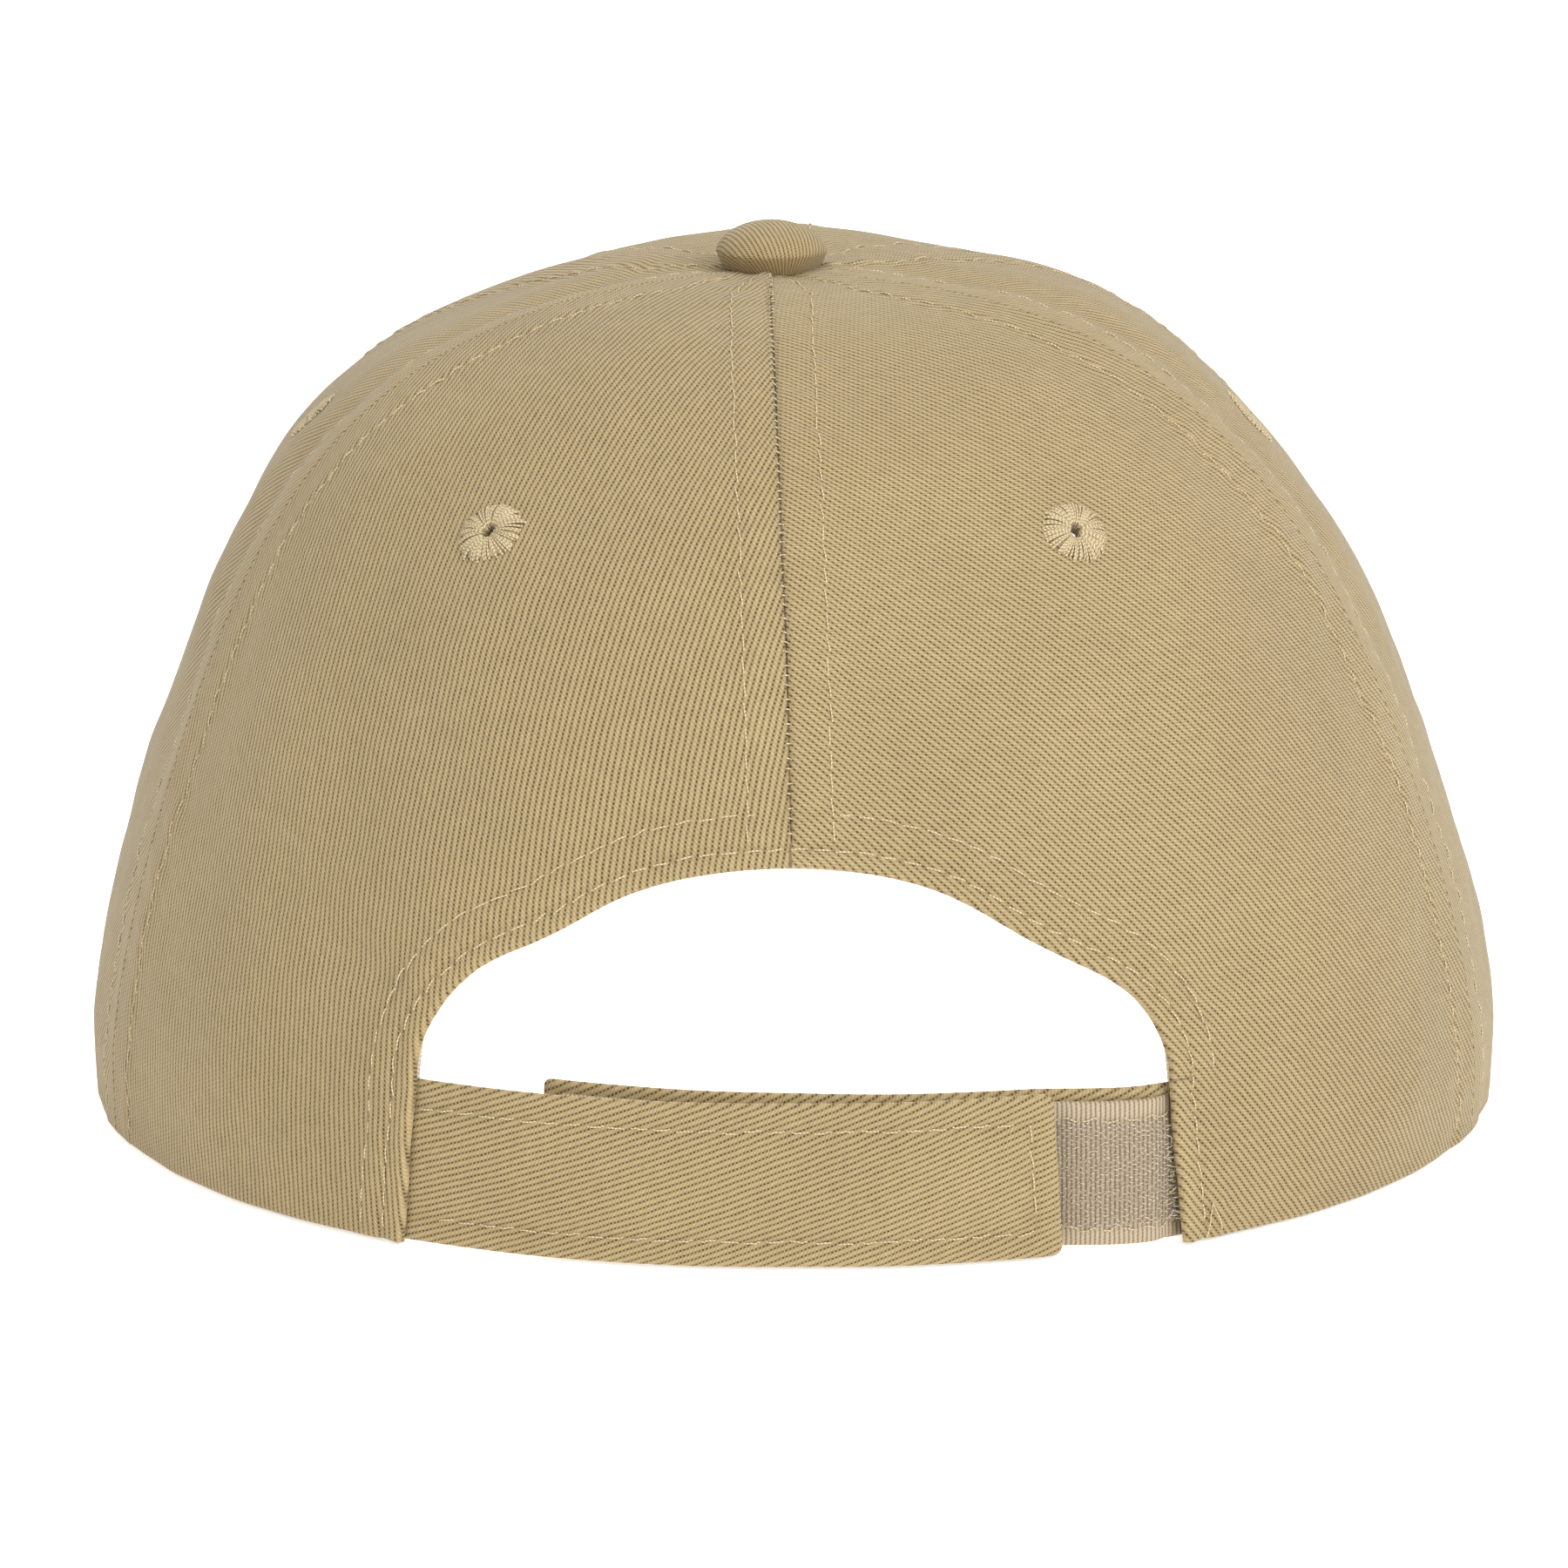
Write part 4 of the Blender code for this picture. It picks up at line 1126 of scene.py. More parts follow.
def make_eyelet(which, side, word, seed):
    """An embroidered ring: thread laid from the hole outwards, all round."""
    azimuth, climb = EYELETS[which]
    place, facing = point(azimuth * side, climb), normal(azimuth * side, climb)
    up = unit(np.array([0, 0, 1.0]) - facing * facing[2])
    across = np.cross(up, facing)
    rng = np.random.default_rng(seed)
    back = BUCKRAM[1] if which == "front" else PANEL_DEPTH
    threads, through, size = 92, 0.20, 0.007
    # the finished cloth round the hole, as a polynomial
    cloth_near = (PANELS[which, side]["outer"] - place).reshape(-1, 3)
    cloth_near = cloth_near[np.linalg.norm(cloth_near, axis=1) < size]
    powers = [(m, n) for m in range(5) for n in range(5 - m)]

    def terms(a, b):
        return np.stack([(a / size) ** m * (b / size) ** n for m, n in powers], axis=-1)

    bend = np.linalg.lstsq(terms(cloth_near @ across, cloth_near @ up), cloth_near @ facing, rcond=None)[0]

    def spot(radial, angle, level):
        a, b = radial * np.cos(angle), radial * np.sin(angle)
        level = level + terms(a, b) @ bend
        return place + up * b[..., None] + across * a[..., None] + facing * level[..., None]

    angles = (2 * np.pi * (np.arange(threads) + rng.normal(0, 0.25, threads)) / threads)[:, None]
    reach = 0.0038 * (1 + rng.normal(0, 0.05, (threads, 1)))
    reach = reach * (1 + 0.08 * np.abs(np.cos(angles - 0.4)))
    t = np.linspace(0, 1, 15)[None]
    hole = 0.00062 * (1 + rng.normal(0, 0.13, (threads, 1)))
    hole = hole * (1 + 0.75 * np.abs(np.sin(angles + 0.5)))
    radial = hole + (reach - hole) * np.clip((t - through) / (1 - through), 0, 1)
    rise = EYELET_RISE * (0.55 if which == "side" else 1.0)
    level = rise * np.sin(np.pi * np.clip((t - 0.06) / 0.94, 0, 1)) ** 0.6 - 0.00004
    level = level * (1 + rng.normal(0, 0.06, (threads, 1)))
    level = level - np.clip((through - t) / through, 0, 1) * (back + 0.0003)
    centre = spot(radial, angles + rng.normal(0, 0.045, (threads, 1)) * t, level)
    thread = tubes(centre, np.broadcast_to(facing, centre.shape), 0.00005 + 0.00011 * radial / 0.0039)
    # a ring under the threads, which holds the cloth from both faces: (radius, height)
    profile = np.array([
        (0.00080, -0.0002), (0.0013, 0.00040), (0.0020, 0.00058), (0.0028, 0.00052),
        (0.0035, 0.00022), (0.0037, -0.0002), (0.00185, -0.0002), (0.00185, -back - 0.0003),
        (0.0034, -back - 0.0003), (0.0030, -back - 0.0009), (0.0018, -back - 0.0010),
        (0.0009, -back - 0.0006)])
    sides = 48
    turn = (2 * np.pi * np.arange(sides) / sides)[:, None] + 0 * profile[:, 0]
    ring = spot(profile[:, 0] + 0 * turn, turn, profile[:, 1] + 0 * turn)
    corners = np.arange(sides * len(profile)).reshape(sides, len(profile))
    after = np.roll(corners, -1, axis=0)
    faces = np.stack([corners, np.roll(corners, -1, axis=1), np.roll(after, -1, axis=1), after], axis=-1)
    spin = stacked(0.0, turn * threads / 6.2832, 0.0)
    ring = ring.reshape(-1, 3), faces.reshape(-1, 4), spin.reshape(-1, 3)
    points, faces, cloth = join([thread, ring])
    off = points - place
    depth = terms(off @ across, off @ up) @ bend - off @ facing
    from_middle = np.hypot(off @ across, off @ up)
    # painted shade: darker where the threads dip below the cloth into the hole
    tone = -4.0 * smooth(depth, 0.0003, 0.0008) * (1 - smooth(from_middle, 0.0011, 0.0018))
    name = f"{which}_eyelet_thread_{word}"
    made = build(name, points, faces, EYELET_THREAD, "crown", "khaki_thread", cloth, tone)
    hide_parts(f"{which}_eyelet_{word}")


def make_button():
    """Twill drawn over a dome and gathered under its rim."""
    rows, columns, wale, pitch_ratio, thickness = 52, 132, 112.0, 1.3, 0.0006
    shoulder = 0.0022  # height of the widest line
    base = CROWN_HEIGHT - BUTTON_DIP + GAP
    t = np.linspace(0.012, 1, rows)[:, None]
    angle = 2 * np.pi * np.arange(columns)[None] / columns
    swing = t * 2.35  # radians from the crest, past the rim and under it
    over, under = np.minimum(swing, np.pi / 2), np.maximum(swing - np.pi / 2, 0)
    radius = BUTTON_RADIUS * np.sin(over) ** 0.95 * (1 - 0.36 * under)
    level = shoulder + (BUTTON_HEIGHT - shoulder) * np.cos(over) ** 1.25
    level = level - 0.0029 * np.sin(np.minimum(under * 2.0, np.pi / 2))
    pleats = ripple(angle * 0.02, 0.0085, 401, 9) * smooth(t, 0.55, 0.95)
    lumps = waves(np.cos(angle) * 0.01 * t, np.sin(angle) * 0.01 * t, 0.007, 402)
    radius = radius + 0.00010 * pleats + 0.00006 * lumps
    across, along = radius * np.cos(angle), radius * np.sin(angle)
    outer = stacked(across, along, base + level)
    inner = outer - unit(outer - [0, 0, base - 0.002]) * thickness
    run = lengths(outer)[:, :1] + radius[0, 0]
    cloth = wale_place(run * np.cos(angle), run * np.sin(angle), wale, pitch_ratio)
    # the crest is closed by a disc of quads on each skin
    gx, gy = np.meshgrid(np.linspace(-1, 1, 9), np.linspace(-1, 1, 9), indexing="ij")
    reach, turn = np.maximum(np.abs(gx), np.abs(gy)) * radius[0].max() * 1.3, np.arctan2(gy, gx)
    top = base + BUTTON_HEIGHT - 0.00001
    disc = stacked(reach * np.cos(turn), reach * np.sin(turn), top).reshape(-1, 3)
    points, faces = shell(outer, inner, grid_faces(rows, columns, wrap=True)[:, ::-1])
    caps = grid_faces(9, 9, start=len(points))
    points = np.concatenate([points, disc, disc - [0, 0, thickness]])
    faces = np.concatenate([faces, caps, caps[:, ::-1] + len(disc)])
    # painted shade under the gathered rim, and a painted highlight on the dome's shoulder
    tone = -1.8 * smooth(t, 0.80, 0.97) + 0 * angle
    tone += 0.35 * smooth(t, 0.42, 0.60) * (1 - smooth(t, 0.66, 0.82))
    crest = wale_place(disc[:, 0], disc[:, 1], wale, pitch_ratio)
    cloth = np.concatenate([cloth.reshape(-1, 3)] * 2 + [crest] * 2)
    tone = np.concatenate([tone.ravel()] * 2 + [np.zeros(2 * len(disc))])
    made = build("button_cloth", points, faces, TWILL, "crown", "khaki_twill", cloth, tone)
    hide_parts("button_cover")


# ------------------------------------------------------------------ the strap


def settle(x):
    """0 at the inner tab's hinge to 1 where it lies flat behind the outer tab."""
    return smooth(x, -HINGE_X, INNER_TAB_SETTLED)


def beyond_hinge(x):
    """0 at the inner tab's hinge to 1 where it is under the panel."""
    return smooth(-x, HINGE_X, HINGE_X + 0.0032)


def rounded(inside, radius):
    """Share of the full half-thickness at a distance inside a rounded edge."""
    return np.sqrt(np.maximum(1 - (1 - np.clip(inside / radius, 0, 1)) ** 2, 0))


def edge_steps(size, fine, step, fine_low=True, fine_high=True):
    """Places from 0 to size, closer together near the rounded edges."""
    curve = fine * (1 - np.cos(np.linspace(0, np.pi / 2, 6)))
    low, high = (curve[-1] if fine_low else 0), (curve[-1] if fine_high else 0)
    middle = np.linspace(low, size - high, max(2, int((size - low - high) / step) + 1))
    before, after = curve[:-1] if fine_low else [], size - curve[::-1][1:] if fine_high else []
    return np.concatenate([before, middle, after])


def inner_lift(x):
    """How much higher the inner tab lies, along it."""
    root, end = INNER_STRAP_LIFT
    return root + (end - root) * np.clip((x + HINGE_X) / (INNER_TAB_END + HINGE_X), 0, 1)


def flat_strip(x_start, x_end, depths, low, high, seed, rise=0.0, ends=(False, True), puff=0.0,
               furrow=0.0, inset=0.0031, step=0.0005, corner=0.0009, lift=lambda x: 0.0, slant=0.0,
               dive=0.0):
    """A strip along the back of the hem with rounded edges, as outer and inner grids."""
    half = (depths[1] - depths[0]) / 2
    span = abs(x_end - x_start)
    direction = math.copysign(1, x_end - x_start)
    travel = edge_steps(span, half, step, ends[0], ends[1])[:, None]
    across = edge_steps(high - low, half, step)[None]
    far = 1.0
    from_end = np.minimum(travel if ends[0] else far, (span - travel) if ends[1] else far) + 0 * across
    from_edge = np.minimum(across, high - low - across) + 0 * travel
    cut_x, cut_z = np.maximum(corner - from_end, 0), np.maximum(corner - from_edge, 0)
    outside = np.hypot(cut_x, cut_z)
    inside = np.where((cut_x > 0) & (cut_z > 0), corner - outside, np.minimum(from_end, from_edge))
    pull = np.where(outside > corner, 1 - corner / np.maximum(outside, 1e-9), 0.0)
    to_right = np.where(travel > span / 2, -1, 1)
    to_top = np.where(across > (high - low) / 2, -1, 1)
    travel = travel + pull * cut_x * to_right
    z = low + across + pull * cut_z * to_top
    lean = slant * (2 * (z - low) / (high - low) - 1)
    x = x_start + direction * travel + lean * smooth(travel, 0.5 * span, span)
    inside = np.maximum(inside, 0)
    thick = np.maximum(rounded(inside, half), 0.06)
    dent = -furrow * bump(inside - inset, 0.0005)
    rim = smooth(inside, 0.0004, 0.0014) * (1 - smooth(inside, inset - 0.0014, inset - 0.0002))
    puffed = puff * smooth(inside, inset + 0.0002, inset + 0.0035) + 0.4 * puff * rim
    wrinkle = 0.00005 * waves(x, z, 0.008, seed + 5)
    e = half * thick + (dent + puffed + wrinkle) * smooth(inside, 0, 0.0010)
    depth = (depths[0] + depths[1]) / 2 - rise * (1 - settle(x)) + dive * beyond_hinge(x)
    sway = 0.00012 * ripple(x, 0.030, 501)
    outer, facing = strap_place(x, z + lift(x), depth - sway - e)
    inner, _ = strap_place(x, z + lift(x), depth - sway + e)
    faces = turned(grid_faces(*x.shape), direction < 0)
    return {
        "outer": outer, "inner": inner, "facing": facing, "faces": faces, "x": x, "z": z,
        "inside": inside,
    }


def strip_object(name, strip, look, slot, cloth, tone=0.0, body=None):
    """An object from a flat_strip."""
    solid = shell(strip["outer"], strip["inner"], strip["faces"])
    return build(name, *solid, look, body, slot, cloth, tone)


def strip_line(strip, places):
    """Points on a strip's outer face, for (x, z) places, with the outward direction."""
    flat = strip["outer"].reshape(-1, 3)
    known = stacked(strip["x"].ravel(), strip["z"].ravel())
    out, up = [], []
    for place in places:
        away = np.hypot(*(known - place).T)
        near = np.argpartition(away, 4)[:4]
        weight = 1 / (away[near] + 2e-5)
        weight /= weight.sum()
        out.append((flat[near] * weight[:, None]).sum(axis=0))
        up.append((strip["facing"].reshape(-1, 3)[near] * weight[:, None]).sum(axis=0))
    return np.array(out), unit(np.array(up))


# Each tab's hinge line, and how far to each side of it the cloth bends.
HINGES = {"outer_strap": (HINGE_X, 0.0022), "inner_strap": (-HINGE_X, 0.0020)}


def bend_at_hinge(made, body):
    """Works out where a bend across the hinge line would start and end, which nothing uses, and bakes the
    piece's placement into its mesh.
    """
    hinge_x, reach = HINGES[body]
    outward = -math.copysign(1, hinge_x)
    start, end = (
        placed(strap_place(np.array(hinge_x + way * outward * reach), STRAP_LEVEL, 0.002)[0])
        for way in (-1, 1)
    )
    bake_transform(made)


def crossing(name, strip, look, slot, cloth, tone, body):
    """A strip object, with its placement baked into its mesh by bend_at_hinge."""
    made = strip_object(name, strip, look, slot, cloth, tone)
    bend_at_hinge(made, body)
    return made


def tab_tone(inside, inset):
    """Darker at the stitched row, painted shade in its furrow; lighter at the edge."""
    return -0.35 * bump(inside - inset, 0.0006) + 0.30 * bump(inside, 0.0007)


def make_strap():
    """Both tabs with their stitches and tapes."""
    inset = 0.0032  # of the stitched row
    outer = flat_strip(ROOT_END, OUTER_TAB_END, OUTER_TAB, 0.0, STRAP_HEIGHT, 500, puff=0.00014,
                       furrow=0.0002, inset=inset, slant=OUTER_TAB_SLANT, corner=0.0013)
    cloth = wale_place(-outer["x"], outer["z"], 20.9, 0.78 / 0.707)
    tone = tab_tone(outer["inside"], inset)
    made = crossing("outer_tab_cloth", outer, TWILL, "khaki_twill", cloth, tone, "outer_strap")
    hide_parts("outer_tab", "outer_tab_root")
    inner = flat_strip(-INNER_ROOT_END, INNER_TAB_END, INNER_TAB, 0.0, INNER_STRAP_HEIGHT, 520,
                       rise=INNER_TAB_RISE, puff=0.0001, furrow=0.0002, inset=inset, lift=inner_lift)
    cloth = wale_place(-inner["x"], inner["z"], 24.0)
    tone = tab_tone(inner["inside"], inset)
    made = crossing("inner_tab_cloth", inner, TWILL, "khaki_twill", cloth, tone, "inner_strap")
    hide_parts("inner_tab", "inner_tab_root")

    # stitches of the outer tab: top row, end column, bottom row
    end, top, root = OUTER_TAB_END + inset, STRAP_HEIGHT - inset, 0.0455
    tilt = OUTER_TAB_SLANT * (1 - 2 * inset / STRAP_HEIGHT)
    path = np.array([(root, top), (end + tilt, top), (end - tilt, inset), (root, inset)])
    parts = []
    for k, (one, two) in enumerate(zip(path, path[1:])):
        line, facing = strip_line(outer, along_line(np.array([one, two]), 0.0004))
        parts.append(stitch_tubes(line, facing, 0.0028, 540 + k))
    made = build_stitches("outer_tab_stitching", parts, body=None)
    bend_at_hinge(made, "outer_strap")
    make_loop_tape()
    make_hook_tape()


def make_loop_tape():
    """Pile of fine loops on a woven ground, on the inside of the outer tab."""
    low, high = LOOP_TAPE_SPAN
    end = OUTER_TAB_END + TAPE_SETBACK
    strip = flat_strip(
        LOOP_TAPE_START, end, LOOP_TAPE, low, high, 560, ends=(True, True), corner=0.0004)
    cloth = stacked(strip["x"], strip["z"], 0.0)
    rough = 0.00010 * np.random.default_rng(561).uniform(-1, 1, strip["x"].shape)
    rough = rough * smooth(strip["inside"], 0.0008, 0.0016)
    strip["inner"] = strip["inner"] - strip["facing"] * rough[..., None]
    made = strip_object("loop_tape_pile", strip, LOOP_BASE, "loop_tape", cloth, body="outer_strap")
    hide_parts("loop_tape")
    rng = np.random.default_rng(562)
    count, rim = 900, 0.0013
    xs = rng.uniform(end + rim, LOOP_TAPE_START - rim, count)[:, None]
    zs = rng.uniform(low + rim, high - rim, count)[:, None]
    spin = rng.uniform(0, np.pi, (count, 1))
    t = np.linspace(0, np.pi, 7)
    r = rng.uniform(0.00025, 0.00045, (count, 1))
    depth = LOOP_TAPE[1] + 0.00042 * np.sin(t) * (r / 0.0004)
    xs, zs = xs + r * np.cos(t) * np.cos(spin), zs + r * np.cos(t) * np.sin(spin)
    centre, facing = strap_place(xs, zs, depth - 0.0001)
    points, faces, cloth = tubes(centre, facing, 0.00005, sides=4)
    build("loop_tape_loops", points, faces, LOOP_BASE, "outer_strap", "loop_tape", cloth)


def make_hook_tape():
    """Ribbed tape with a field of plastic hooks between its selvedges."""
    foot, head = HOOK_TAPE_MARGIN[0], INNER_STRAP_HEIGHT - HOOK_TAPE_MARGIN[1]
    start, end = -0.0480, INNER_TAB_END - TAPE_SETBACK
    dive = 0.0010  # how much deeper the tape goes under the panel
    strip = flat_strip(start, end, HOOK_TAPE, foot, head, 580, rise=INNER_TAB_RISE,
                       ends=(True, True), corner=0.0004, step=0.0004, lift=inner_lift, dive=dive)
    selvedge = 0.0019
    inside = np.minimum(strip["z"] - foot, head - strip["z"])
    ribs = 0.00002 * np.cos(2 * np.pi * strip["x"] / 0.0005)
    ribs = ribs * (1 - smooth(inside, selvedge - 0.0003, selvedge + 0.0001))
    groove = -0.00014 * bump(inside - selvedge - 0.0003, 0.0003)
    relief = (ribs + groove) * smooth(strip["inside"], 0, 0.0006)
    strip["outer"] = strip["outer"] + strip["facing"] * relief[..., None]
    cloth = stacked(strip["x"], strip["z"], 0.0)
    tone = 0.3 * (1 - smooth(inside, selvedge - 0.0004, selvedge))
    # painted shade: the hook field darker than the selvedges, under its hooks, and darker still where the
    # tape goes under the panel
    tone -= 0.5 * smooth(inside, selvedge, selvedge + 0.0006)
    tone -= 1.6 * smooth(-strip["x"], 0.0452, 0.0466)
    made = crossing("hook_tape_ground", strip, HOOK_BASE, "hook_tape", cloth, tone, "inner_strap")
    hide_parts("hook_tape")
    parts = []
    for k, z in enumerate((foot + selvedge + 0.0002, head - selvedge - 0.0002)):
        places = along_line(np.array([(start + 0.0022, z), (end - 0.0010, z)]), 0.0004)
        sway = 0.00022 * np.sin(places[:, 0] * 2 * np.pi / 0.0031)
        places[:, 1] += sway + 0.00012 * ripple(places[:, 0], 0.006, 583 + k)
        line, facing = strip_line(strip, places)
        parts.append(stitch_tubes(line, facing, 0.0026, 585 + k, share=0.93, wander=0.00010))
    rows = np.arange(foot + selvedge + 0.0007, head - selvedge - 0.0005, 0.00064)
    rng = np.random.default_rng(590)
    stations = np.arange(start + 0.0024, end - 0.0012, 0.00053)
    gx, gz = np.meshgrid(stations, rows, indexing="ij")
    gx = gx + 0.00010 * (rows - rows.mean()) / 0.0007 + rng.normal(0, 0.00007, gx.shape)
    gz = gz + 0.00032 * (np.arange(len(stations)) % 2)[:, None] + rng.normal(0, 0.00008, gx.shape)
    gx, gz = gx.ravel()[:, None], gz.ravel()[:, None]
    # tall uncut ends beside the panel
    stray = smooth(-gx, 0.0440, 0.0456) * rng.uniform(0.0, 1.0, gx.shape)
    angle = -0.5 * np.pi + np.linspace(0, 1, 9) * 1.62 * np.pi
    radius = (0.00026 + 0.00050 * stray) * (1 + rng.normal(0, 0.08, gx.shape))
    up = radius * (1 + np.sin(angle)) * 1.05
    aside = radius * (np.cos(angle) * 0.85)
    spin = rng.normal(0.5 * np.pi, 0.5, gx.shape) * np.where(rng.uniform(size=gx.shape) > 0.5, 1, -1)
    x, z = gx + aside * np.sin(spin), gz + aside * np.cos(spin)
    base = HOOK_TAPE[0] - INNER_TAB_RISE * (1 - settle(x)) + dive * beyond_hinge(x)
    depth = base + 0.0001 - np.minimum(up, 0.0007 + 0.0006 * stray)
    centre, facing = strap_place(x, z + inner_lift(x), depth)
    hooks, faces, cloth = tubes(centre, facing, 0.00005, sides=4)
    bend_at_hinge(build_stitches("hook_tape_stitching", parts, body=None), "inner_strap")
    made = build("hook_tape_hooks", hooks, faces, HOOKS, None, "hook_tape", cloth)
    bend_at_hinge(made, "inner_strap")


# ------------------------------------------------------------------ inside the crown


def ribbon_grids(azimuths, climbs, depths, half):
    """Outer and inner points of a tape laid inside a seam, with its cloth places, the surface's
    directions and the lengths along it."""
    centre = point(azimuths, climbs)
    facing = normal(azimuths, climbs)
    across = sideways(centre, facing)
    bow = half**2 / (2 * 0.070)
    s = np.linspace(-1, 1, 15)
    flat = centre[:, None] + across[:, None] * (half * s)[None, :, None]
    grids = []
    for k in (0, 1):
        depth = depths[:, k][:, None] + bow * s**2 + (0.00025 * bump(s, 0.25))[None]
        depth = depth - slump(centre)[:, None]
        grids.append(flat - facing[:, None] * depth[..., None])
    run = lengths(centre)
    cloth = stacked(run[:, None], half * s, 0.0)
    return grids, cloth, facing, run


def make_tapes():
    """Tapes over the inside of the seams, with their two stitched rows."""
    parts = []

    def tape(name, azimuths, climbs, depths, node, seed):
        grids, cloth, facing, run = ribbon_grids(azimuths, climbs, depths, TAPE_WIDTH / 2)
        solid = shell(*grids, grid_faces(*cloth.shape[:2]))
        made = build(name, *solid, TAPE_LOOK, "crown", "seam_tape", cloth)
        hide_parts(node)
        for k, column in enumerate((2, 12)):
            line = grids[1][:, column]
            parts.append(stitch_tubes(line, -facing, STITCH, seed + k))

    front = np.linspace(float(hem_climb(180.0)) + TAPE_FOOT, 89.0, 130)
    arch_climb = float(climb_where(0.0, height, ARCH_TOP + BINDING_WIDTH + 0.0016))
    back = np.linspace(88.5, arch_climb, 90)
    azimuths = np.concatenate([np.full(front.shape, 180.0), np.zeros(back.shape)])
    climbs = np.concatenate([front, back])
    turn = smooth(np.arange(len(climbs)), len(front) - 30, len(front) + 20)[:, None]
    depths = np.array(FRONT_TAPE) * (1 - turn) + np.array(TAPE) * turn
    tape("centre_tape_cloth", azimuths, climbs, depths, "centre_seam_tape", 600)
    for side, word in SIDES:
        for which, angles, pair in (("back", BACK_SEAM, TAPE), ("front", FRONT_SEAM, FRONT_TAPE)):
            start = float(hem_climb(angles[0])) + TAPE_FOOT
            stop = float(climb_where(angles[2], closeness, -TAPE_END_RADIUS))
            climbs = np.linspace(start, stop, 160)
            azimuths, depths = seam(angles, climbs) * side, np.tile(pair, (len(climbs), 1))
            name, node = f"{which}_tape_cloth_{word}", f"{which}_seam_tape_{word}"
            seed = 610 + 10 * (which == "front") + 3 * (side > 0)
            tape(name, azimuths, climbs, depths, node, seed)
    build_stitches("tape_stitching", parts)


def make_buckram():
    """Open stiffened weave behind the two front panels."""
    for side, word in SIDES:
        grid = gore_grid("front", side, step=0.0018, middle_step=0.002)
        azimuth, climb, first, last, u, v = (
            grid[key][:, ::2] for key in ("azimuth", "climb", "first", "last", "u", "v")
        )
        base, facing = point(azimuth, climb), normal(azimuth, climb)
        ripple_height = slump(base) + 0.00008 * waves(u, v, 0.02, 640 + side)
        outer = base - facing * (BUCKRAM[0] - ripple_height)[..., None]
        inner = base - facing * (BUCKRAM[1] - ripple_height)[..., None]
        faces = turned(grid_faces(*azimuth.shape), side > 0)
        spot = point(EYELETS["front"][0] * side, EYELETS["front"][1])
        keep = (first > BUCKRAM_INSET) & (last > BUCKRAM_INSET) & (v > 0.0006)
        keep &= np.hypot(base[..., 0], base[..., 1]) > BUCKRAM_TOP_RADIUS
        keep &= np.linalg.norm(base - spot, axis=-1) > PANEL_HOLE
        faces = faces[keep.ravel()[faces].all(axis=1)]
        solid, cloth = shell(outer, inner, faces), wale_place(u, v, 90.0)
        name = f"front_buckram_weave_{word}"
        made = build(name, *solid, BUCKRAM_LOOK, "crown", "buckram", cloth)
        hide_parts(f"front_buckram_{word}")
        area = quad_area(base, faces)


def swell(made, held, pressure, frames, limit):
    """Cloth simulation of a closed piece with air pressure inside; no point moves past limit
    metres, and the held ones stay."""
    scene, mesh = bpy.context.scene, made.data
    made.vertex_groups.new(name="held").add(np.flatnonzero(held).tolist(), 1.0, "REPLACE")
    modifier = made.modifiers.new("cloth", "CLOTH")
    settings = modifier.settings
    settings.vertex_group_mass = "held"
    settings.quality, settings.mass = 6, 0.15
    settings.tension_stiffness = settings.compression_stiffness = settings.shear_stiffness = 6.0
    settings.bending_stiffness = 0.05
    settings.use_pressure, settings.uniform_pressure_force = True, pressure
    settings.shrink_min = -0.06  # the band is cut longer than its seam, so it puckers
    settings.effector_weights.gravity = 0.0
    modifier.point_cache.frame_start, modifier.point_cache.frame_end = 1, frames
    rest = np.empty(len(mesh.vertices) * 3, np.float32)
    mesh.vertices.foreach_get("co", rest)
    for number in range(1, frames + 1):
        scene.frame_set(number)
    result = made.evaluated_get(bpy.context.evaluated_depsgraph_get()).data
    moved = np.empty_like(rest)
    result.vertices.foreach_get("co", moved)
    scene.frame_set(1)
    made.modifiers.remove(modifier)
    shift = (moved - rest).reshape(-1, 3)
    far = np.linalg.norm(shift, axis=1, keepdims=True)
    shift *= limit * np.tanh(far / limit) / np.maximum(far, 1e-9)
    mesh.vertices.foreach_set("co", (rest.reshape(-1, 3) + shift).ravel())


def subdivide(made):
    """Rounds a piece off by one level of subdivision, applied."""
    modifier = made.modifiers.new("smoother", "SUBSURF")
    modifier.levels = modifier.render_levels = 1
    mesh = bpy.data.meshes.new_from_object(made.evaluated_get(bpy.context.evaluated_depsgraph_get()))
    made.modifiers.clear()
    made.data = mesh
    mesh.shade_smooth()


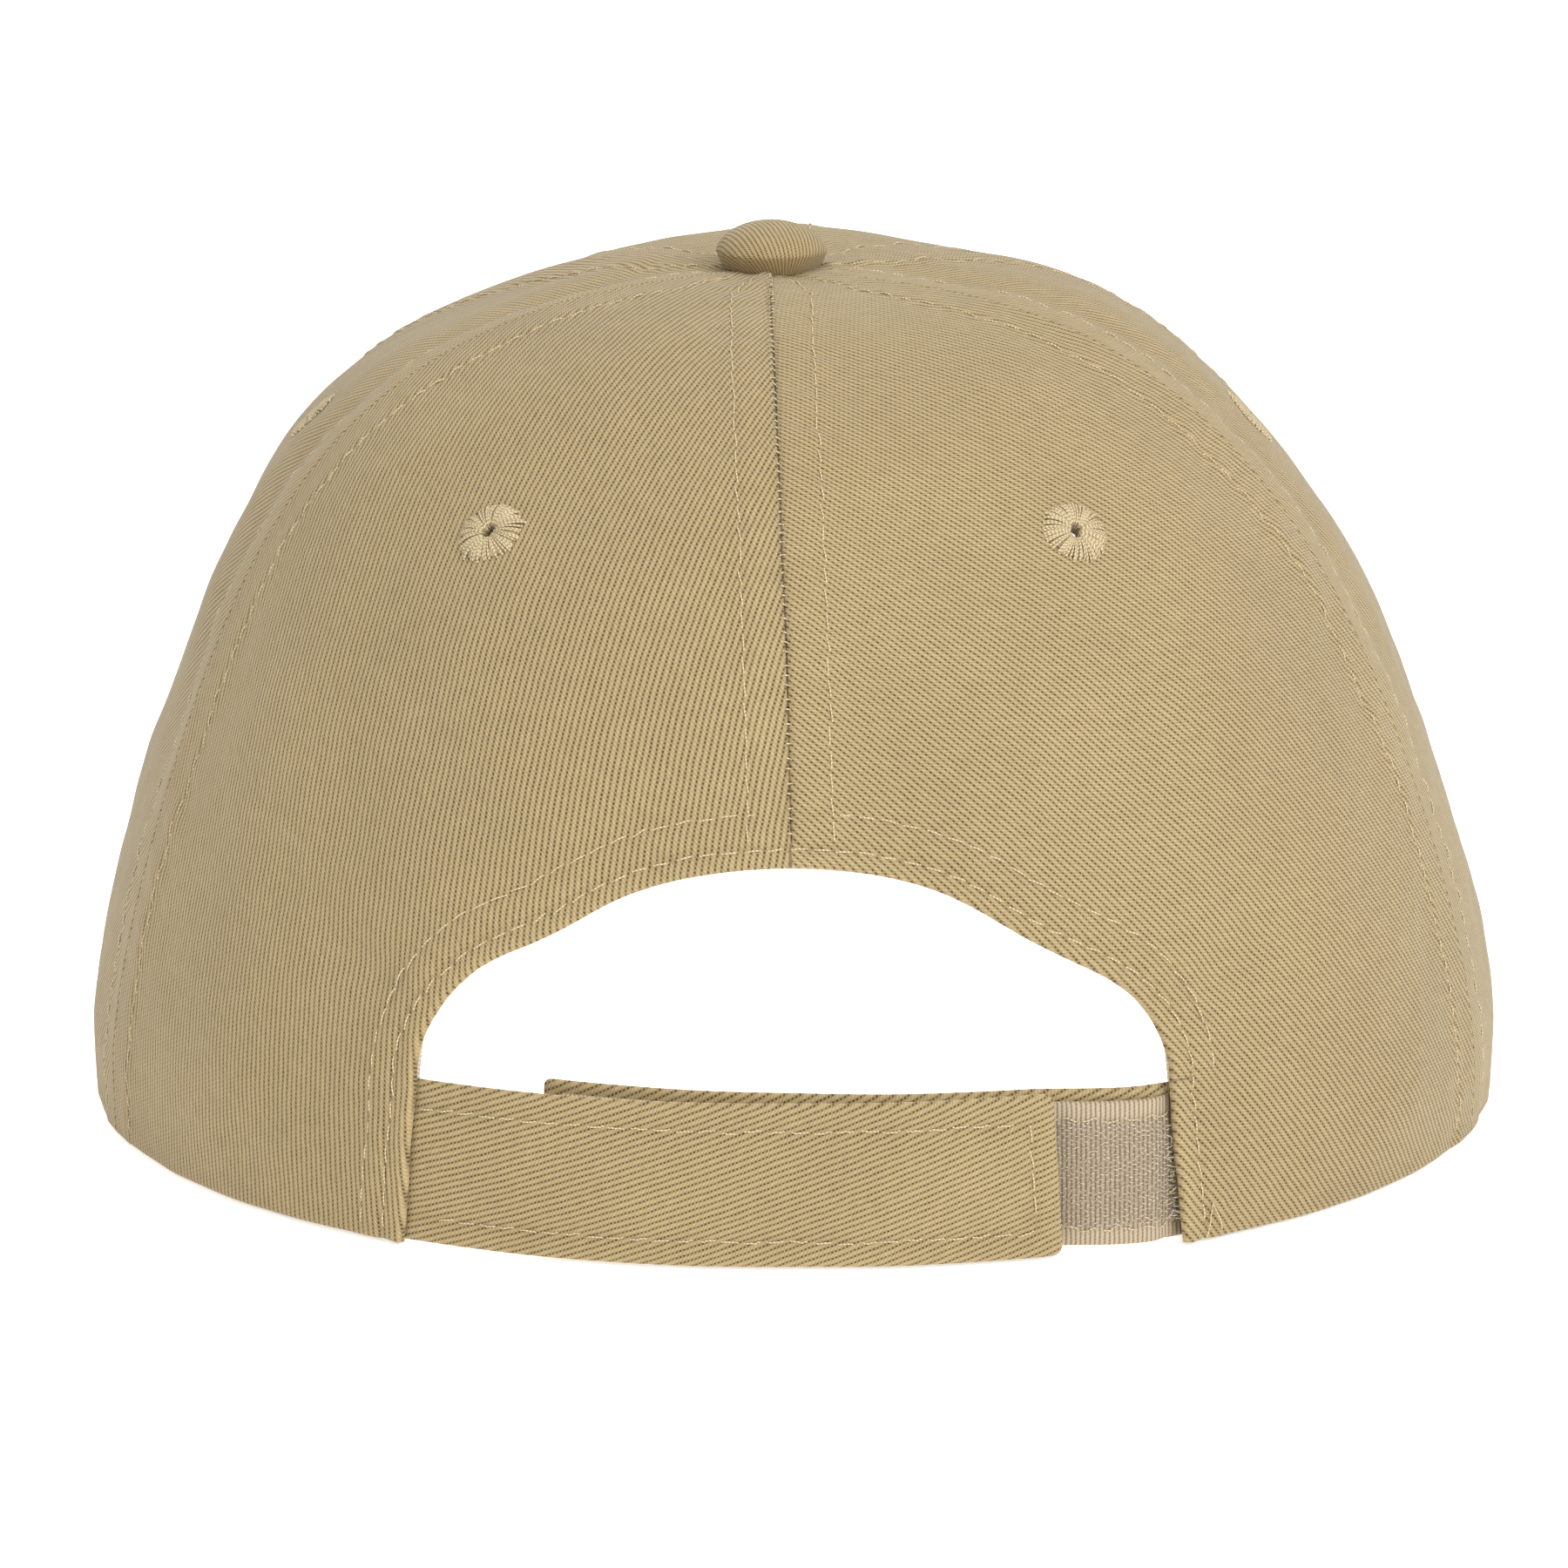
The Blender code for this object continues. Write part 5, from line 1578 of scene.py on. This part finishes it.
def make_sweatband():
    """A cloth band folded round foam, puffed between its seam and its folded top."""
    from_opening, steady, puff_limit = 0.0012, 0.004, 0.0010
    corner = float(locate(np.array(ARCH_FOOT_HALF_WIDTH + from_opening), STRAP_LEVEL)[0])
    stations = np.linspace(corner, 360 - corner, 290)
    wrapped = np.where(stations > 180, stations - 360, stations)
    base = hem_height(wrapped)
    half = (SWEATBAND[1] - SWEATBAND[0]) / 2
    middle = (SWEATBAND[0] + SWEATBAND[1]) / 2
    seam_row, top = 0.0052, SWEATBAND_HEIGHT - 0.0004
    rows = np.array([
        0, 0.0004, 0.0012, 0.0024, 0.0039, seam_row, 0.0065, 0.0085, 0.0112, 0.0142, 0.0174, 0.0206,
        0.0238, 0.0268, 0.0292, top - 0.0012, top - 0.0004, top])
    run = lengths(wall(wrapped, base + 0.012, middle))
    along = np.minimum(run, run[-1] - run)
    inside = np.minimum(np.minimum(rows, rows[-1] - rows)[None], along[:, None])
    thick = np.maximum(rounded(inside, half), 0.10)
    sewn = rows == seam_row
    outer, inner = [], []
    for k, z in enumerate(rows):
        found = climb_where(wrapped, height, base + 0.0002 + z, high=60.0)
        facing = level_normal(wrapped, found)
        e = half * thick[:, k]
        dent = 0.0011 if sewn[k] else 0.0003 * smooth(inside[:, k], 0, 0.003)
        outer.append(point(wrapped, found) - facing * (middle - e)[:, None])
        inner.append(point(wrapped, found) - facing * (middle + e - dent)[:, None])
    outer, inner = np.stack(outer, axis=1), np.stack(inner, axis=1)
    cloth = stacked(run[:, None], rows, 0.0)
    solid = shell(outer, inner, grid_faces(len(stations), len(rows))[:, ::-1])
    # painted shade in the sewn crease
    tone = -0.5 * sewn[None] + 0 * inside
    made = build("sweatband_cloth", *solid, BAND_LOOK, None, None, cloth, tone)
    free = ~sewn[None] & (rows > 0.0012)[None] & (rows < top)[None] & (along > steady)[:, None]
    held = np.concatenate([np.ones(free.size, bool), ~free.ravel()])  # all of the outer skin
    swell(made, held, pressure=4.0, frames=14, limit=puff_limit)
    subdivide(made)
    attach(made, "crown")
    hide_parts("sweatband", "sweatband_padding")
    spots = free.size + np.arange(len(stations)) * len(rows) + int(np.flatnonzero(sewn)[0])
    line = placed([made.data.vertices[k].co for k in spots.tolist()], way=-1)
    facing = -level_normal(wrapped, climb_where(wrapped, height, base + seam_row, high=60.0))
    both = along_line(np.concatenate([line, facing], axis=1)[3:-3], 0.0006)
    build_stitches("sweatband_stitching", [stitch_tubes(both[:, :3], unit(both[:, 3:]), 0.0032, 710)])


# ------------------------------------------------------------------ visor


VISOR_ROWS = (0.0045, 0.0100, 0.0155, 0.0210, 0.0265, 0.0320, 0.0375)  # in from the rim
COVERS = (  # name, node, which way it faces, direction of the wale
    ("visor_top_cloth", "visor_top_cover", 1, 96.0),
    ("visor_under_cloth", "visor_bottom_cover", -1, 84.0),
)


def visor_outline(inset, angles):
    """The rim, or a line that runs inset within it; angle 0 is the middle of the front."""
    swing = np.abs(np.sin(angles)) ** (2 / VISOR_POWER) * np.sign(np.sin(angles))
    reach = np.abs(np.cos(angles)) ** (2 / VISOR_POWER) * np.sign(np.cos(angles))
    return (VISOR_HALF_WIDTH - inset) * swing, VISOR_WIDEST_Y - (VISOR_LENGTH - inset) * reach


def visor_inset(x, y):
    """Distance in from the visor's rim, by the outline that passes through a place."""
    low, high = np.full(x.shape, -0.01), np.full(x.shape, 0.085)
    for _ in range(30):
        middle = (low + high) / 2
        value = (np.abs(x) / (VISOR_HALF_WIDTH - middle)) ** VISOR_POWER
        value = value + (np.maximum(VISOR_WIDEST_Y - y, 0) / (VISOR_LENGTH - middle)) ** VISOR_POWER
        out = value > 1
        low, high = np.where(out, low, middle), np.where(out, middle, high)
    return (low + high) / 2


def make_visor():
    """Two covers sewn together at the rim over the board, with rows of stitches."""
    columns, rows, edge_rows, thin = 260, 90, 14, 0.0008  # thin: the covers' thickness
    t = np.linspace(-1, 1, columns + 1)
    across = t + 0.6 / np.pi * np.sin(np.pi * t)  # closer together at the visor's ends
    azimuths = 180 - across * COVER_SPAN
    rim = wall(azimuths, hem_height(azimuths), np.full(azimuths.shape, VISOR_TUCK))[:, :2]
    angles = np.radians(across * VISOR_SWEEP * COVER_SPAN / VISOR_SPAN)
    half = VISOR_THICKNESS / 2
    last_rows = 1 - 0.03 * np.cos(np.linspace(0, np.pi / 2, edge_rows + 1))[1:]
    share = np.concatenate([np.linspace(0, 0.97, rows - edge_rows), last_rows])
    outline = stacked(*visor_outline(0.0, angles))
    plan = rim * (1 - share[:, None, None]) + outline * share[:, None, None]
    x, y = plan[..., 0], plan[..., 1]
    inset = visor_inset(x, y)
    from_edge = np.clip(inset, 0, None)
    for end in (0, -1):
        foot, tip = plan[0, end], plan[-1, end]
        along_x, along_y = (tip - foot) / np.linalg.norm(tip - foot)
        from_end = np.abs(along_x * (y - foot[1]) - along_y * (x - foot[0]))
        from_edge = np.minimum(from_edge, from_end)
    closed = from_edge < 0.000002
    roll = half * (1 - rounded(from_edge, 0.0021))
    dents = sum(bump(inset - d, 0.0006) for d in VISOR_ROWS) * 0.00022
    dents = dents + 0.00007 * waves(x, y, 0.018, 800)
    middle = visor_top(x, y) - half
    # painted shade in the stitched rows' dents and in the seam at the rim, and a painted highlight on the
    # rolled rim
    tone = -0.4 * sum(bump(inset - d, 0.0007) for d in VISOR_ROWS)
    tone = tone + 0.3 * bump(from_edge - 0.001, 0.001) - 1.0 * bump(from_edge, 0.0003)
    for name, node, sign, angle in COVERS:
        skin = middle + sign * (half - roll - dents * smooth(from_edge, 0, 0.002))
        lining = middle + sign * np.maximum(half - roll - thin, 0.00004)
        skin = np.where(closed, middle + sign * 0.00006, skin)
        outer = stacked(x, y, skin)
        inner = stacked(x, y, np.where(closed, middle + sign * 0.00002, lining))
        cloth = wale_place(x, -y, angle)
        points, faces = shell(outer, inner, turned(grid_faces(*x.shape), sign > 0))
        a, b, c = points[faces[0][:3]]
        faces = turned(faces, np.cross(b - a, c - b)[2] * sign < 0)
        made = build(name, points, faces, TWILL, "crown", "khaki_twill", cloth, tone)
        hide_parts(node)
        area = quad_area(outer, grid_faces(*x.shape))
        width, length = 2 * VISOR_HALF_WIDTH, float(y.max() - y.min())
    parts = []
    sweep = np.radians(np.linspace(-89, 89, 900))
    order, widest = np.argsort(rim[:, 0]), np.abs(rim[:, 0]).max()
    for k, row in enumerate(VISOR_ROWS):
        lx, ly = visor_outline(row, sweep)
        limit = np.interp(lx, rim[order, 0], rim[order, 1])
        keep = (ly < limit - 0.0012) & (np.abs(lx) < widest)
        keep |= (np.abs(lx) >= widest) & (ly < rim[:, 1].max())
        lx, ly = lx[keep], ly[keep]
        for sign in (1, -1):
            lz = visor_top(lx, ly) - half + sign * (half - 0.00020)
            line = stacked(lx, ly, lz)
            facing = np.tile([0, 0, float(sign)], (len(line), 1))
            parts.append(stitch_tubes(line, facing, 0.0030, 820 + 2 * k + (sign > 0)))
    build_stitches("visor_stitching", parts)


# ------------------------------------------------------------------ camera, floor and light

VIEW_DOWN = 11.72  # elevation of the camera over the aimed place
TARGET = Vector((0, CROWN_Y, 0.060))
DISTANCE = 1.0
LENS = 180.18
AIM_LOWER, AIM_LEFT = 1.300, 0.073  # degrees that the camera turns to place the cap in the frame
FLOOR_HALF, FLOOR_LEVEL, FLOOR_GLOW = 6.0, -0.0004, 0.58
WORLD_LIGHT = 0.205
LAMPS = (  # name, place from the middle of the cap, size, power
    ("key", (-0.90, 1.00, 0.90), 0.9, 16.7),
    ("fill", (0.90, 1.00, 0.90), 0.9, 6.2),
    ("top", (0.0, 0.0, 1.60), 1.2, 12.7),
    ("behind", (0.0, -1.30, 0.80), 1.2, 7.2),
    ("inside", (0.0, -0.01, 0.037), 0.05, 0.12),
)


def make_camera():
    """Looks at the back of the cap, a little from above, as the photograph does."""
    down = math.radians(VIEW_DOWN)
    camera = bpy.data.objects.new("camera", bpy.data.cameras.new("camera"))
    bpy.context.scene.collection.objects.link(camera)
    camera.data.sensor_width = 36
    camera.data.lens = LENS
    camera.data.clip_start, camera.data.clip_end = 0.05, 20
    camera.location = TARGET + Vector((0, math.cos(down), math.sin(down))) * DISTANCE
    look = Matrix.Rotation(math.radians(180 + AIM_LEFT), 4, "Z") @ Matrix.Rotation(
        math.radians(90) - down - math.radians(AIM_LOWER), 4, "X")
    camera.rotation_euler = look.to_euler()
    bpy.context.scene.camera = camera


def lamp(name, place, size, power):
    """A white area light aimed at the middle of the cap."""
    data = bpy.data.lights.new(name, "AREA")
    data.shape = "SQUARE"
    data.size, data.energy = size, power
    made = bpy.data.objects.new(name, data)
    bpy.context.scene.collection.objects.link(made)
    aim = Vector((0, CROWN_Y * 0.5, 0.05))
    made.location = aim + Vector(place)
    made.rotation_euler = Vector(place).to_track_quat("Z", "Y").to_euler()


def make_stage():
    """A white floor, an even surrounding light and the lamps."""
    mesh = bpy.data.meshes.new("floor")
    corners = [
        (FLOOR_HALF * x, FLOOR_HALF * y, FLOOR_LEVEL) for x, y in ((-1, -1), (1, -1), (1, 1), (-1, 1))
    ]
    mesh.from_pydata(corners, [], [(0, 1, 2, 3)])
    floor = bpy.data.objects.new("floor", mesh)
    bpy.context.scene.collection.objects.link(floor)
    paint = Paint("floor_paper", roughness=0.9, specular=0.1)
    fine = paint.noise(paint.object_place(), 3.0, 2.0)
    paint.shader.inputs["Emission Color"].default_value = (1, 1, 1, 1)
    paint.shader.inputs["Emission Strength"].default_value = FLOOR_GLOW
    mesh.materials.append(paint.finish(paint.ramp(fine, [(0, (247, 247, 247)), (1, (250, 250, 250))])))
    world = bpy.data.worlds.new("studio")
    world.use_nodes = True
    world.node_tree.nodes["Background"].inputs[0].default_value = (1, 1, 1, 1)
    world.node_tree.nodes["Background"].inputs[1].default_value = WORLD_LIGHT
    bpy.context.scene.world = world
    bpy.context.scene.view_settings.view_transform = "Standard"
    bpy.context.scene.view_settings.look = "None"
    for name, place, size, power in LAMPS:
        lamp(name, place, size, power)


# ------------------------------------------------------------------ assembly

make_camera()
make_stage()
make_crown()
make_opening_edge()
for number, (side, word) in enumerate(SIDES):
    for which in EYELETS:
        make_eyelet(which, side, word, 350 + number * 3 + len(which))
make_button()
make_strap()
make_tapes()
make_buckram()
make_sweatband()
make_visor()

for node, look in (("visor_board", BOARD_LOOK), ("button_shell", METAL), ("button_back", METAL)):
    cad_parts[node].data.materials.clear()
    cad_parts[node].data.materials.append(look)
